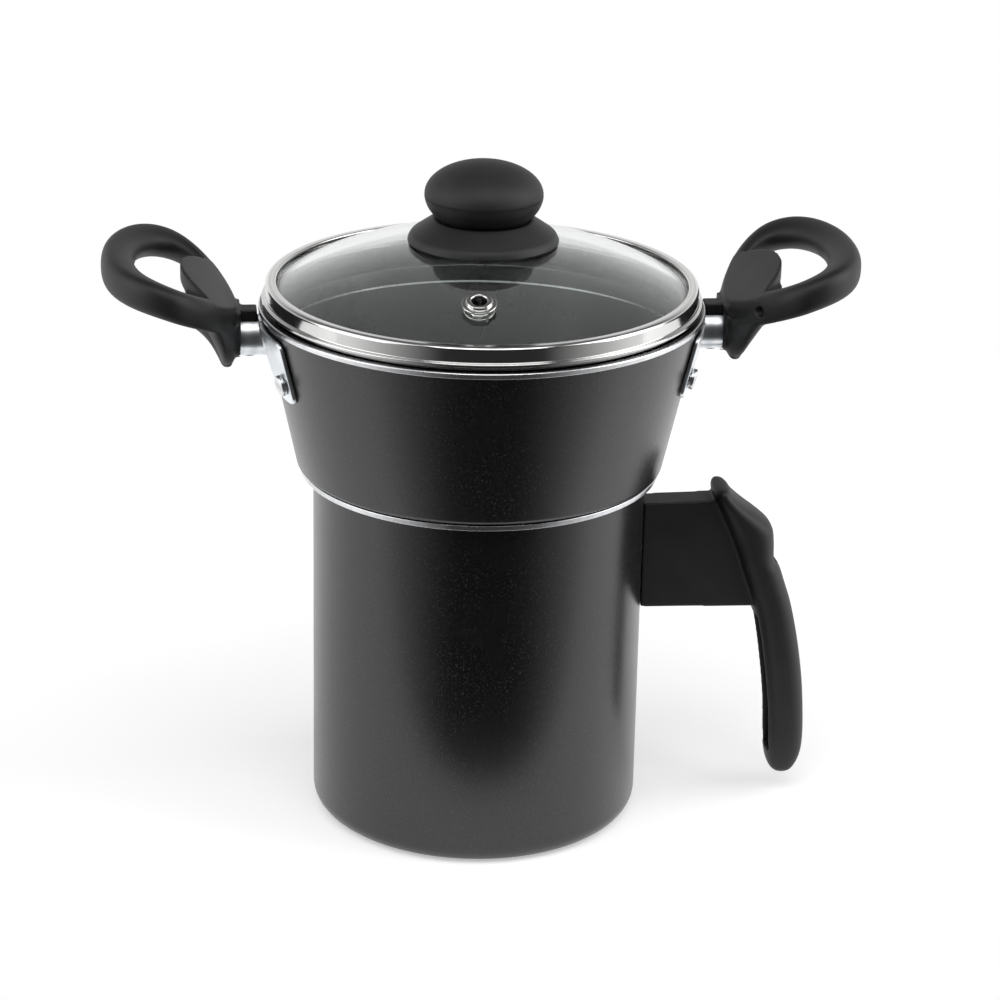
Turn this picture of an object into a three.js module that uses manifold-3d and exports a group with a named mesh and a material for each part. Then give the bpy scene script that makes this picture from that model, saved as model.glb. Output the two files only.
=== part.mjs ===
// Couscous steamer for one: a tall boiler mug with a side handle, a tapered steaming bowl with two loop handles
// that nests on the mug, a loose perforated steam plate and a glass lid with a knob.
// Millimetres, +Z up. The origin is the centre of the mug's base and the side handles lie along X.

import * as THREE from "three";
import { mergeVertices } from "three/addons/utils/BufferGeometryUtils.js";
import Module from "manifold-3d";

const wasm = await Module();
wasm.setup();

// Fits
const SEAT_GAP = 0.3; // between pieces that rest on or clamp each other
const HOLE_CLEARANCE = 0.3; // round a screw, rivet or insert
const COLLAR_CLEARANCE = 0.6; // round the bowl's collar in the mug
const PLATE_CLEARANCE = 2.4; // round the steam plate on its ledge, clear of the bowl's inner fillet
const RIM_CLEARANCE = 1.2; // round the lid's skirt in the mouth of the bowl

// Facets of a full turn, and of a right-angled fillet
const BODY_FACETS = 36;
const KNOB_FACETS = 22;
const FASTENER_FACETS = 10;
const HOLE_FACETS = 6;
const FILLET_FACETS = 3;
const FULL_ROUND = 0.98; // share of half a width that its two corner fillets may take

// Boiler mug
const MUG_RADIUS = 61.8;
const MUG_HEIGHT = 137;
const MUG_WALL = 2;
const MUG_FLOOR = 3;
const MUG_CORNER = 7;
const MUG_LIP_OVERHANG = 4.8;
const LIP_THICKNESS = 2; // trimmed bright edge of the mug and of the bowl
const MUG_FLARE = 4;
const FOOT_RING_WIDTH = 15;
const FOOT_RECESS = 0.8;

// Mug handle, measured out from the mug wall and up from the axis of the neck
const MUG_HANDLE_DROP = 37.4; // from the mug's lip down to the axis of the neck
const NECK_HEIGHT = 43.4;
const NECK_FLARE = 1; // growth of the neck's half height from the mug to the grip
const NECK_WIDTH = 12;
const NECK_EDGE = 1.5;
const TAB_REACH = 25.2;
const TAB_LEAN = 2.7;
const TAB_HEIGHT = 6.2;
const TAB_THICKNESS = 7;
const TAB_EDGE = 2;
const THUMB_REST_DEPTH = 5;
const SHOULDER_REACH = 49;
const GRIP_REACH = 64.4;
const GRIP_DEPTH = 15.2;
const GRIP_WIDTH = 22;
const GRIP_EDGE = 2.8;
const GRIP_BOW = 2.5; // of the back of the grip, short of its furthest reach
const GRIP_KNEE = 0.72; // share of the way down to the toe where the back reaches furthest
const TOE_SWELL = 1;
const TOE_ROUND = 3.2;
const FINGER_REACH = 42.2; // clear space for fingers under the neck
const GRIP_FLOOR_GAP = 7.8;
const CHANNEL_WIDTH = 12;
const CHANNEL_BACK_WALL = 6;
const CHANNEL_END_WALL = 9;
const CHANNEL_TOP = 4; // below the underside of the neck
const SCREW_OFFSET = 1.5; // of the fixing below the axis of the neck
const STUD_RADIUS = 4.5;
const STUD_LENGTH = 14;
const MUG_SCREW_RADIUS = 2.1;
const MUG_SCREW_HEAD_RADIUS = 4.3;
const MUG_SCREW_HEAD = 3;
const MUG_SCREW_BURIAL = 1.1; // depth of the screw head's crown below the back of the grip
const MUG_SCREW_ENGAGEMENT = 10;
const WASHER_THICKNESS = 1;
const WASHER_OVERHANG = 0.6;

// Steaming bowl
const BOWL_HEIGHT = 61.6;
const BOWL_OVERHANG = 1.1; // of the bowl's foot past the mug's lip
const BOWL_TAPER = 13.1; // growth of the wall's radius from foot to lip
const BOWL_LIP_OVERHANG = 1;
const BOWL_WALL = 2;
const BOWL_FLARE = 2;
const BOWL_FOOT_ROUND = 2.5;
const LEDGE_ROUND = 2;
const COLLAR_DEPTH = 15.5;

// Steam plate
const PLATE_THICKNESS = 1.5;
const PLATE_HOLE_RADIUS = 1.75;
const PLATE_RING_PITCH = 12.5;
const PLATE_BORDER = 8;
const HOLES_IN_FIRST_RING = 5;

// Side handles and brackets, measured out from the bowl's lip and up from its top
const FERRULE_WIDTH = 16;
const FERRULE_TOP = -3.4;
const FERRULE_BOTTOM = -16;
const FERRULE_LENGTH = 10.6;
const SHEET = 1.5; // steel of the brackets
const FOOT_SPREAD = 29; // half the width across both feet of a bracket
const FOOT_WIDTH = 12.5;
const FOOT_TOP = -5;
const FOOT_BOTTOM = -28.5;
const FOOT_ROUND = 5;
const RIVET_HEIGHT = -21.5;
const RIVET_RADIUS = 2.1;
const RIVET_HEAD_RADIUS = 3.9;
const RIVET_HEAD = 1.6;
const LOOP_START = 6.6;
const LOOP_LENGTH = 49.9;
const LOOP_WIDTH = 84;
const LOOP_BAR = 11.9;
const LOOP_THICKNESS = 13.4;
const LOOP_TOP = 22.8;
const LOOP_RISE = 22.8; // from the root of the loop to its tip
const LOOP_ARCH = 2.4; // power of the curve of that rise
const LOOP_SQUARENESS = 2.15; // of the outline in plan, where 2 is an ellipse
const BAR_SQUARENESS = 2.7; // of the bar's section
const BAR_INNER_DROP = 1.5; // slope of the bar's top down to the finger hole
const BAR_INNER_LIFT = 4; // slope of its underside up to the finger hole
const LOOP_STEPS = 24;
const BAR_SECTION_POINTS = 10;
const HOLE_DEPTH = 29; // of the whole oval, before the pad fills its root end
const PAD_DEPTH = 21.5;
const PAD_EDGE_RADIUS = 36; // of the pad's edge at the finger hole, in plan
const PAD_THICKNESS = 7;
const PAD_INSET = 1.2; // of the pad from the outline of the loop
const NOSE_SLICES = [
  // height of the slice, its start and end past the root of the loop, and half its width
  [-21, 3, 6, 7.5],
  [-20, 2.2, 6.9, 8.7],
  [-14, 0.3, 8.7, 10],
  [-8, 0, 11.5, 13],
  [-4, 0, 15, 16.5],
  [-0.5, 0, 19, 21],
  [9.6, 11, 20, 24],
];
const NOSE_SQUARENESS = 4;
const NOSE_POINTS = 12;
const NOSE_COLLAR_BOTTOM = -16.6;
const NOSE_COLLAR_DEPTH = 4;
const NOSE_COLLAR_HALF_WIDTH = 9.3;
const TONGUE_TOP = -0.8;
const TONGUE_START = 0.5; // of the tongue past the bowl's lip
const TONGUE_END = 4; // of the tongue past the root of the loop
const SIDE_SCREW_REACH = 3.4;
const SIDE_SCREW_RADIUS = 1.3;
const SIDE_SCREW_HEAD_RADIUS = 2.5;
const SIDE_SCREW_HEAD = 1.2;
const SIDE_SCREW_LENGTH = 12;
const DIMPLE_REACH = 20.5;
const DIMPLE_HEIGHT = -0.5;
const DIMPLE_LENGTH = 8.4;
const DIMPLE_WIDTH = 4.4;
const DIMPLE_DEPTH = 1.6;

// Lid
const LID_LIP_INSET = 1.2; // of the lid's lip from the bowl's lip
const LID_LIP = 1.4;
const LID_LIP_HEIGHT = 1.2; // of the lid's lip above the bottom of its channel
const LID_LIP_OVERHANG = 1.4;
const RIM_HEIGHT = 8.3;
const RIM_WALL = 1.6;
const RIM_COVER = 2; // of the rim over the edge of the glass
const RIM_SKIRT = 8;
const RIM_SKIRT_WALL = 1;
const GLASS_THICKNESS = 3.5;
const GLASS_DOME_RADIUS = 160;
const GLASS_LIFT = 1.4; // of the glass edge above the bottom of the rim's channel
const GLASS_HOLE_RADIUS = 4;
const VENT_REACH = 54.5;
const VENT_AZIMUTH = -97;
const VENT_RADIUS = 2.8;
const VENT_TUBE_WALL = 0.8;
const VENT_FLANGE_RADIUS = 6.2;
const VENT_COLLAR_RADIUS = 4.6;
const VENT_COLLAR_HEIGHT = 2;
const VENT_FLANGE = 0.8;

// Knob
const SKIRT_RADIUS = 27.9;
const SKIRT_HEIGHT = 8.6;
const SKIRT_MOUTH_RADIUS = 17;
const SKIRT_RIM = 1.4;
const SKIRT_WALL = 2.4;
const SKIRT_FLOOR = 3.5;
const KNOB_RADIUS = 21.6;
const KNOB_STEM_RADIUS = 14.5;
const KNOB_STEM_HEIGHT = 1;
const KNOB_BELLY_HEIGHT = 11.3; // from the bottom of the stem up to the widest turn
const KNOB_CROWN_HEIGHT = 12; // from the widest turn up to the top
const INSERT_RADIUS = 4;
const INSERT_LENGTH = 13;
const KNOB_SCREW_RADIUS = 2;
const KNOB_SCREW_HEAD_RADIUS = 4.4;
const KNOB_SCREW_HEAD = 2.6;
const KNOB_SCREW_ENGAGEMENT = 10;
const SEAL_RADIUS = 8;
const SEAL_THICKNESS = 1.2;

// Places that follow from the sizes above
const MUG_LIP_RADIUS = MUG_RADIUS + MUG_LIP_OVERHANG;
const MUG_INSIDE = MUG_RADIUS - MUG_WALL;
const MUG_HANDLE_Z = MUG_HEIGHT - MUG_HANDLE_DROP;
const BOWL_SEAT = MUG_HEIGHT + SEAT_GAP;
const BOWL_TOP = BOWL_SEAT + BOWL_HEIGHT;
const BOWL_LIP_BOTTOM = BOWL_TOP - LIP_THICKNESS;
const BOWL_FOOT_RADIUS = MUG_LIP_RADIUS + BOWL_OVERHANG;
const BOWL_WALL_TOP_RADIUS = BOWL_FOOT_RADIUS + BOWL_TAPER;
const BOWL_LIP_RADIUS = BOWL_WALL_TOP_RADIUS + BOWL_LIP_OVERHANG;
const BOWL_SLOPE = BOWL_TAPER / (BOWL_LIP_BOTTOM - BOWL_SEAT);
const BOWL_TILT = Math.atan(BOWL_SLOPE);
const LEDGE_Z = BOWL_SEAT + BOWL_WALL;
const bowlRadius = (z) => BOWL_FOOT_RADIUS + (z - BOWL_SEAT) * BOWL_SLOPE;

const RIM_BOTTOM = BOWL_TOP + SEAT_GAP;
const RIM_TOP = RIM_BOTTOM + RIM_HEIGHT;
const LID_LIP_RADIUS = BOWL_LIP_RADIUS - LID_LIP_INSET;
const RIM_RADIUS = LID_LIP_RADIUS - LID_LIP_OVERHANG;
const GLASS_RADIUS = RIM_RADIUS - RIM_WALL - SEAT_GAP;
const GLASS_INNER_DOME = GLASS_DOME_RADIUS - GLASS_THICKNESS;
const GLASS_CENTRE_Z = RIM_BOTTOM + GLASS_LIFT - Math.sqrt(GLASS_INNER_DOME ** 2 - GLASS_RADIUS ** 2);
const glassTop = (r) => GLASS_CENTRE_Z + Math.sqrt(GLASS_DOME_RADIUS ** 2 - r ** 2);
const glassUnder = (r) => GLASS_CENTRE_Z + Math.sqrt(GLASS_INNER_DOME ** 2 - r ** 2);

// Finishes
const coated = { color: 0x35333a, roughness: 0.5, metalness: 0.35 };
const aluminium = { color: 0xc9cacc, roughness: 0.35, metalness: 1 };
const chromed = { color: 0xd8dadc, roughness: 0.12, metalness: 1 };
const stainless = { color: 0xc8c8c6, roughness: 0.2, metalness: 1 };
const phenolic = { color: 0x1c1c1e, roughness: 0.45, metalness: 0 };
const brass = { color: 0xb89a4a, roughness: 0.35, metalness: 1 };
const silicone = { color: 0xd9d7d0, roughness: 0.7, metalness: 0 };
const glass = { color: 0xcfe0da, roughness: 0.05, metalness: 0, transparent: true, opacity: 0.35 };

// A closed geometry as a solid: only positions count, and triangles that close up at a pole are dropped.
function solid(geometry) {
  const bare = new THREE.BufferGeometry();
  bare.setAttribute("position", geometry.getAttribute("position"));
  bare.setIndex(geometry.index);
  const merged = mergeVertices(bare, 1e-4);
  const corners = merged.index.array;
  const triVerts = [];
  for (let i = 0; i < corners.length; i += 3) {
    const [a, b, c] = corners.subarray(i, i + 3);
    if (a !== b && b !== c && c !== a) triVerts.push(a, b, c);
  }
  return new wasm.Manifold(
    new wasm.Mesh({
      numProp: 3,
      vertProperties: merged.getAttribute("position").array,
      triVerts: new Uint32Array(triVerts),
    }),
  );
}

// A named sub-part from a finished solid.
function piece(name, body, finish) {
  const made = body.getMesh();
  const geometry = new THREE.BufferGeometry();
  geometry.setAttribute("position", new THREE.BufferAttribute(made.vertProperties, 3));
  geometry.setIndex(new THREE.BufferAttribute(made.triVerts, 1));
  geometry.computeVertexNormals();
  const mesh = new THREE.Mesh(geometry, new THREE.MeshStandardMaterial(finish));
  mesh.name = name;
  return mesh;
}

// Points of an outline from its corners [x, y, fillet radius]. A fillet is limited by the sides it joins.
function filleted(corners, closed) {
  const last = corners.length - 1;
  const at = (i) => new THREE.Vector2(...corners[(i + corners.length) % corners.length].slice(0, 2));
  return corners.flatMap(([, , wanted = 0], i) => {
    const corner = at(i);
    if (!wanted || (!closed && (i === 0 || i === last))) return [corner];
    const back = at(i - 1).sub(corner);
    const ahead = at(i + 1).sub(corner);
    const room = Math.min(back.length(), ahead.length()) * 0.95;
    back.normalize();
    ahead.normalize();
    const half = Math.acos(back.dot(ahead)) / 2;
    const radius = Math.min(wanted, room * Math.tan(half));
    const bisector = back.clone().add(ahead).normalize();
    const centre = corner.clone().addScaledVector(bisector, radius / Math.sin(half));
    const start = corner.clone().addScaledVector(back, radius / Math.tan(half)).sub(centre);
    const turn = (Math.PI - 2 * half) * Math.sign(ahead.cross(back));
    const steps = Math.max(2, Math.ceil((Math.abs(turn) / (Math.PI / 2)) * FILLET_FACETS));
    return Array.from({ length: steps + 1 }, (_, k) =>
      start.clone().rotateAround(new THREE.Vector2(), (turn * k) / steps).add(centre),
    );
  });
}

// A turned piece about Z. An open outline starts and ends on the axis; a closed one is a ring.
function turned(corners, { closed = false, facets = BODY_FACETS } = {}) {
  const outline = filleted(corners, closed);
  if (closed) outline.push(outline[0]);
  return new THREE.LatheGeometry(outline, facets).rotateX(Math.PI / 2);
}

// A plate or bar of a flat shape, centred on the plane of the shape, with rounded edges.
function slab(shape, thickness, edge = 0, curveSegments = FILLET_FACETS) {
  const geometry = new THREE.ExtrudeGeometry(shape, {
    depth: thickness - 2 * edge,
    bevelEnabled: edge > 0,
    bevelThickness: edge,
    bevelSize: edge,
    bevelOffset: -edge,
    bevelSegments: 2,
    curveSegments,
  });
  return geometry.translate(0, 0, edge - thickness / 2);
}

// The three ways a slab's shape can stand: in the XZ plane, in the YZ plane or flat.
const standing = (geometry) => geometry.rotateX(Math.PI / 2);
const crosswise = (geometry) => geometry.rotateX(Math.PI / 2).rotateZ(Math.PI / 2);

const outlineShape = (corners) => new THREE.Shape(filleted(corners, true));

// A round bar along X or Z between two places on that axis.
const barAlongX = (radius, from, to, y, z, facets = FASTENER_FACETS) =>
  new THREE.CylinderGeometry(radius, radius, to - from, facets)
    .rotateZ(-Math.PI / 2)
    .translate((from + to) / 2, y, z);
const barAlongZ = (radius, from, to, x, y, facets = FASTENER_FACETS) =>
  new THREE.CylinderGeometry(radius, radius, to - from, facets)
    .rotateX(Math.PI / 2)
    .translate(x, y, (from + to) / 2);

// The surface through closed rings of points: joined end to end, or open and capped by its first and last ring.
function ringLoft(rings, capped = false) {
  const count = rings[0].length;
  const index = [];
  const points = rings.flat();
  rings.forEach((_, i) => {
    const next = (i + 1) % rings.length;
    if (capped && next === 0) return;
    for (let k = 0; k < count; k += 1) {
      const up = (k + 1) % count;
      const [a, b] = [i * count + k, next * count + k];
      const [c, d] = [i * count + up, next * count + up];
      index.push(...(capped ? [a, c, b, b, c, d] : [a, b, c, b, d, c]));
    }
  });
  if (capped) {
    const last = (rings.length - 1) * count;
    for (let k = 1; k < count - 1; k += 1) index.push(0, k + 1, k, last, last + k, last + k + 1);
  }
  const geometry = new THREE.BufferGeometry().setFromPoints(points);
  geometry.setIndex(index);
  return geometry;
}

function mugBody() {
  const footInside = MUG_RADIUS - MUG_CORNER - FOOT_RING_WIDTH;
  return solid(
    turned([
      [0, FOOT_RECESS],
      [footInside, FOOT_RECESS],
      [footInside + FOOT_RECESS, 0],
      [MUG_RADIUS, 0, MUG_CORNER],
      [MUG_RADIUS, MUG_HEIGHT - LIP_THICKNESS, MUG_FLARE],
      [MUG_LIP_RADIUS, MUG_HEIGHT - LIP_THICKNESS],
      [MUG_LIP_RADIUS, MUG_HEIGHT],
      [MUG_INSIDE, MUG_HEIGHT, MUG_FLARE + MUG_WALL],
      [MUG_INSIDE, MUG_FLOOR, MUG_CORNER - MUG_WALL],
      [0, MUG_FLOOR],
    ]),
  );
}

// The mug handle and its fixing: a boss on the mug wall inside the neck, and a long screw from the back of the grip.
function mugHandlePieces() {
  const wall = MUG_RADIUS + SEAT_GAP;
  const neckHalf = NECK_HEIGHT / 2;
  const tabTop = neckHalf + TAB_HEIGHT;
  const tabRound = TAB_THICKNESS / 2;
  const drop = MUG_HANDLE_Z - GRIP_FLOOR_GAP;
  const fingerEnd = GRIP_REACH - GRIP_DEPTH;
  const place = (geometry) => standing(geometry).translate(MUG_RADIUS, 0, MUG_HANDLE_Z);

  const tabRoot = TAB_REACH + TAB_LEAN;
  const thumbRest = [(TAB_REACH + 2 * SHOULDER_REACH) / 3, neckHalf - THUMB_REST_DEPTH];
  const grip = new THREE.Shape();
  grip.moveTo(tabRoot + TAB_THICKNESS / 2, neckHalf - THUMB_REST_DEPTH);
  grip.lineTo(...thumbRest);
  grip.quadraticCurveTo(SHOULDER_REACH, neckHalf / 2, SHOULDER_REACH, neckHalf / 5);
  grip.quadraticCurveTo(GRIP_REACH - GRIP_BOW, (-GRIP_KNEE * drop) / 2, GRIP_REACH, -GRIP_KNEE * drop);
  const toe = [GRIP_REACH - GRIP_DEPTH / 3, TOE_ROUND - drop];
  grip.quadraticCurveTo(GRIP_REACH + TOE_SWELL, GRIP_DEPTH / 2 - drop, ...toe);
  grip.quadraticCurveTo(fingerEnd + GRIP_DEPTH / 3, -drop - TOE_SWELL, fingerEnd + TOE_ROUND, TOE_ROUND - drop);
  grip.quadraticCurveTo(fingerEnd, 2 * TOE_ROUND - drop, fingerEnd, 4 * TOE_ROUND - drop);
  grip.quadraticCurveTo(fingerEnd - TOE_SWELL, -drop / 2, FINGER_REACH, -neckHalf);

  const tab = new THREE.Shape();
  tab.moveTo(tabRoot, neckHalf);
  tab.lineTo(TAB_REACH, tabTop - tabRound);
  tab.quadraticCurveTo(TAB_REACH, tabTop, TAB_REACH + tabRound, tabTop);
  tab.quadraticCurveTo(TAB_REACH + TAB_THICKNESS, tabTop, TAB_REACH + TAB_THICKNESS, tabTop - tabRound);
  tab.quadraticCurveTo(tabRoot + TAB_THICKNESS, neckHalf, ...thumbRest);
  tab.lineTo(SHOULDER_REACH - GRIP_EDGE, 0);
  tab.lineTo(tabRoot + TAB_THICKNESS, 0);

  const neck = outlineShape([
    [0, NECK_FLARE - neckHalf],
    [FINGER_REACH + 1, -neckHalf],
    [tabRoot + TAB_THICKNESS / 2, neckHalf],
    [0, neckHalf - NECK_FLARE],
  ]);

  // The hollow back of the grip opens towards the mug, between its two cheeks.
  const channel = new THREE.Shape();
  const channelTop = -neckHalf - CHANNEL_TOP;
  const channelBottom = CHANNEL_END_WALL - drop;
  const channelBack = GRIP_REACH - CHANNEL_BACK_WALL;
  channel.moveTo(FINGER_REACH - GRIP_EDGE, channelTop);
  channel.lineTo(fingerEnd - GRIP_EDGE, channelBottom);
  channel.lineTo(channelBack - GRIP_EDGE, channelBottom);
  channel.quadraticCurveTo(channelBack - GRIP_BOW, -drop / 2, SHOULDER_REACH - CHANNEL_BACK_WALL / 3, channelTop);

  const screwZ = MUG_HANDLE_Z - SCREW_OFFSET;
  const crown = MUG_RADIUS + SHOULDER_REACH - MUG_SCREW_BURIAL;
  const headSeat = crown - MUG_SCREW_HEAD;
  const washerSeat = headSeat - SEAT_GAP - WASHER_THICKNESS;
  const recessFloor = washerSeat - SEAT_GAP;
  const washerRadius = MUG_SCREW_HEAD_RADIUS + WASHER_OVERHANG;
  const studEnd = MUG_RADIUS + STUD_LENGTH;
  const screwEnd = studEnd - MUG_SCREW_ENGAGEMENT;
  const bore = MUG_SCREW_RADIUS + HOLE_CLEARANCE;
  const mugWall = solid(
    new THREE.CylinderGeometry(wall, wall, MUG_HEIGHT, 2 * BODY_FACETS)
      .rotateX(Math.PI / 2)
      .translate(0, 0, MUG_HANDLE_Z),
  );

  const handle = solid(place(slab(grip, GRIP_WIDTH, GRIP_EDGE)))
    .add(solid(place(slab(tab, GRIP_WIDTH, TAB_EDGE))))
    .add(solid(place(slab(neck, NECK_WIDTH, NECK_EDGE))))
    .subtract(solid(place(slab(channel, CHANNEL_WIDTH, 0))))
    .subtract(solid(barAlongX(STUD_RADIUS + HOLE_CLEARANCE, 0, studEnd + SEAT_GAP, 0, screwZ)))
    .subtract(solid(barAlongX(bore, 0, crown, 0, screwZ)))
    .subtract(solid(barAlongX(washerRadius + HOLE_CLEARANCE, recessFloor, crown + GRIP_DEPTH, 0, screwZ)))
    .subtract(mugWall);
  const stud = solid(barAlongX(STUD_RADIUS, 0, studEnd, 0, screwZ))
    .subtract(solid(barAlongX(bore, screwEnd - SEAT_GAP, crown, 0, screwZ)))
    .subtract(mugWall);
  const screw = solid(barAlongX(MUG_SCREW_RADIUS, screwEnd, headSeat + MUG_SCREW_HEAD / 2, 0, screwZ))
    .add(solid(barAlongX(MUG_SCREW_HEAD_RADIUS, headSeat, crown, 0, screwZ)));
  const washer = solid(barAlongX(washerRadius, washerSeat, washerSeat + WASHER_THICKNESS, 0, screwZ))
    .subtract(solid(barAlongX(bore, 0, crown, 0, screwZ)));
  return [
    piece("mug_handle", handle, phenolic),
    piece("mug_handle_stud", stud, aluminium),
    piece("mug_handle_screw", screw, stainless),
    piece("mug_handle_washer", washer, stainless),
  ];
}

// A rivet along +Z from the outside of the bowl's wall: shank, domed outer head on the bracket, inner head.
function rivetBody() {
  const outerSeat = 2 * SEAT_GAP + SHEET;
  const wallRadius = bowlRadius(RIVET_Z);
  const wallHollow = RIVET_HEAD_RADIUS ** 2 / wallRadius + wallRadius * (1 - Math.cos(Math.PI / BODY_FACETS));
  const innerSeat = -BOWL_WALL * Math.cos(BOWL_TILT) - SEAT_GAP - wallHollow;
  const crown = RIVET_HEAD_RADIUS / 2;
  return turned(
    [
      [0, innerSeat - RIVET_HEAD],
      [crown, innerSeat - RIVET_HEAD],
      [RIVET_HEAD_RADIUS, innerSeat - RIVET_HEAD / 3],
      [RIVET_HEAD_RADIUS, innerSeat],
      [RIVET_RADIUS, innerSeat],
      [RIVET_RADIUS, outerSeat],
      [RIVET_HEAD_RADIUS, outerSeat],
      [RIVET_HEAD_RADIUS, outerSeat + RIVET_HEAD / 3],
      [crown, outerSeat + RIVET_HEAD],
      [0, outerSeat + RIVET_HEAD],
    ],
    { facets: FASTENER_FACETS },
  );
}

// Where a rivet stands on the wall of the bowl: its axis is square to the tapered wall.
const RIVET_Z = BOWL_TOP + RIVET_HEIGHT;
const RIVET_AZIMUTH = Math.asin((FOOT_SPREAD - FOOT_WIDTH / 2) / bowlRadius(RIVET_Z));
function onBowlWall(geometry, azimuth) {
  return geometry
    .rotateY(Math.PI / 2 + BOWL_TILT)
    .translate(bowlRadius(RIVET_Z), 0, RIVET_Z)
    .rotateZ(azimuth);
}
const SIDES = { right: 0, left: Math.PI };
const ENDS = { right: { front: -1, back: 1 }, left: { front: 1, back: -1 } };

function steamerBowl() {
  const collarRadius = MUG_INSIDE - COLLAR_CLEARANCE;
  const collarInside = collarRadius - BOWL_WALL;
  let bowl = solid(
    turned(
      [
        [collarInside, BOWL_SEAT - COLLAR_DEPTH],
        [collarRadius, BOWL_SEAT - COLLAR_DEPTH],
        [collarRadius, BOWL_SEAT],
        [BOWL_FOOT_RADIUS, BOWL_SEAT, BOWL_FOOT_ROUND],
        [BOWL_WALL_TOP_RADIUS, BOWL_LIP_BOTTOM, BOWL_FLARE],
        [BOWL_LIP_RADIUS, BOWL_LIP_BOTTOM],
        [BOWL_LIP_RADIUS, BOWL_TOP],
        [BOWL_WALL_TOP_RADIUS - BOWL_WALL, BOWL_TOP, BOWL_FLARE + BOWL_WALL],
        [BOWL_FOOT_RADIUS - BOWL_WALL, LEDGE_Z, LEDGE_ROUND],
        [collarInside, LEDGE_Z],
      ],
      { closed: true },
    ),
  );
  const hole = () => new THREE.CylinderGeometry(
    RIVET_RADIUS + HOLE_CLEARANCE,
    RIVET_RADIUS + HOLE_CLEARANCE,
    4 * BOWL_WALL,
    FASTENER_FACETS,
  ).rotateX(Math.PI / 2);
  for (const turn of Object.values(SIDES)) {
    for (const way of [-1, 1]) {
      bowl = bowl.subtract(solid(onBowlWall(hole(), turn + way * RIVET_AZIMUTH)));
    }
  }
  return bowl;
}

// Everything within the bowl's outside and a seat gap, up past the lid: what the brackets and handles keep clear of.
function bowlClearance(gap) {
  const flare = BOWL_LIP_BOTTOM - BOWL_LIP_OVERHANG;
  return solid(
    turned([
      [0, BOWL_SEAT - gap],
      [BOWL_FOOT_RADIUS + gap, BOWL_SEAT - gap],
      [bowlRadius(flare) + gap, flare],
      [BOWL_LIP_RADIUS + gap, BOWL_LIP_BOTTOM - gap],
      [BOWL_LIP_RADIUS + gap, BOWL_TOP + LOOP_TOP],
      [0, BOWL_TOP + LOOP_TOP],
    ]),
  );
}

// The U-shaped section of a ferrule, grown outwards by a clearance, as a bar along X.
function ferruleBar(grow, from, to) {
  const half = FERRULE_WIDTH / 2 + grow;
  const inner = FERRULE_WIDTH / 2 - SHEET - grow;
  const bottom = BOWL_TOP + FERRULE_BOTTOM - grow;
  const top = BOWL_TOP + FERRULE_TOP + grow;
  const floor = BOWL_TOP + FERRULE_BOTTOM + SHEET + grow;
  const section = outlineShape([
    [-half, top],
    [-half, bottom, half * FULL_ROUND],
    [half, bottom, half * FULL_ROUND],
    [half, top],
    [inner, top],
    [inner, floor, inner * FULL_ROUND],
    [-inner, floor, inner * FULL_ROUND],
    [-inner, top],
  ]);
  return solid(crosswise(slab(section, to - from)).translate((from + to) / 2, 0, 0));
}

// The screw of a side handle goes up through the ferrule's floor, where its head is sunk, into the tongue.
const FERRULE_END = BOWL_LIP_RADIUS + FERRULE_LENGTH;
const LOOP_ROOT = BOWL_LIP_RADIUS + LOOP_START;
const LOOP_TIP = LOOP_ROOT + LOOP_LENGTH;
function sideScrew(grow = 0) {
  const bottom = BOWL_TOP + FERRULE_BOTTOM;
  const shank = SIDE_SCREW_RADIUS + grow;
  return solid(
    turned(
      [
        [0, bottom - grow],
        [SIDE_SCREW_HEAD_RADIUS + grow, bottom - grow],
        [shank, bottom + SIDE_SCREW_HEAD],
        [shank, bottom + SIDE_SCREW_LENGTH + grow],
        [0, bottom + SIDE_SCREW_LENGTH + grow],
      ],
      { facets: FASTENER_FACETS },
    ).translate(BOWL_LIP_RADIUS + SIDE_SCREW_REACH, 0, 0),
  );
}

// A pressed bracket: two feet bent to the bowl's wall and the ferrule that carries the handle.
function handleBracket() {
  const [top, bottom] = [BOWL_TOP + FOOT_TOP, BOWL_TOP + FOOT_BOTTOM];
  const arch = BOWL_TOP + FERRULE_BOTTOM - SHEET;
  const inside = FOOT_SPREAD - FOOT_WIDTH;
  const feet = outlineShape([
    [-FOOT_SPREAD, top, FOOT_ROUND],
    [-FOOT_SPREAD, bottom, FOOT_ROUND],
    [-inside, bottom, FOOT_ROUND],
    [-FERRULE_WIDTH / 2, arch, FOOT_ROUND / 2],
    [FERRULE_WIDTH / 2, arch, FOOT_ROUND / 2],
    [inside, bottom, FOOT_ROUND],
    [FOOT_SPREAD, bottom, FOOT_ROUND],
    [FOOT_SPREAD, top, FOOT_ROUND],
  ]);
  const low = bottom - SHEET;
  const skin = solid(
    turned(
      [
        [bowlRadius(low) + SEAT_GAP, low],
        [bowlRadius(low) + SEAT_GAP + SHEET, low],
        [bowlRadius(top) + SEAT_GAP + SHEET, top],
        [bowlRadius(top) + SEAT_GAP, top],
      ],
      { closed: true },
    ),
  );
  let bracket = solid(crosswise(slab(feet, BOWL_LIP_RADIUS)).translate(BOWL_LIP_RADIUS, 0, 0)).intersect(skin);
  bracket = bracket.add(ferruleBar(0, BOWL_FOOT_RADIUS, FERRULE_END).subtract(bowlClearance(SEAT_GAP)));
  for (const way of [-1, 1]) {
    const radius = RIVET_RADIUS + HOLE_CLEARANCE;
    const hole = new THREE.CylinderGeometry(radius, radius, 8 * SHEET, FASTENER_FACETS).rotateX(Math.PI / 2);
    bracket = bracket.subtract(solid(onBowlWall(hole, way * RIVET_AZIMUTH)));
  }
  return bracket.subtract(sideScrew(HOLE_CLEARANCE));
}

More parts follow.
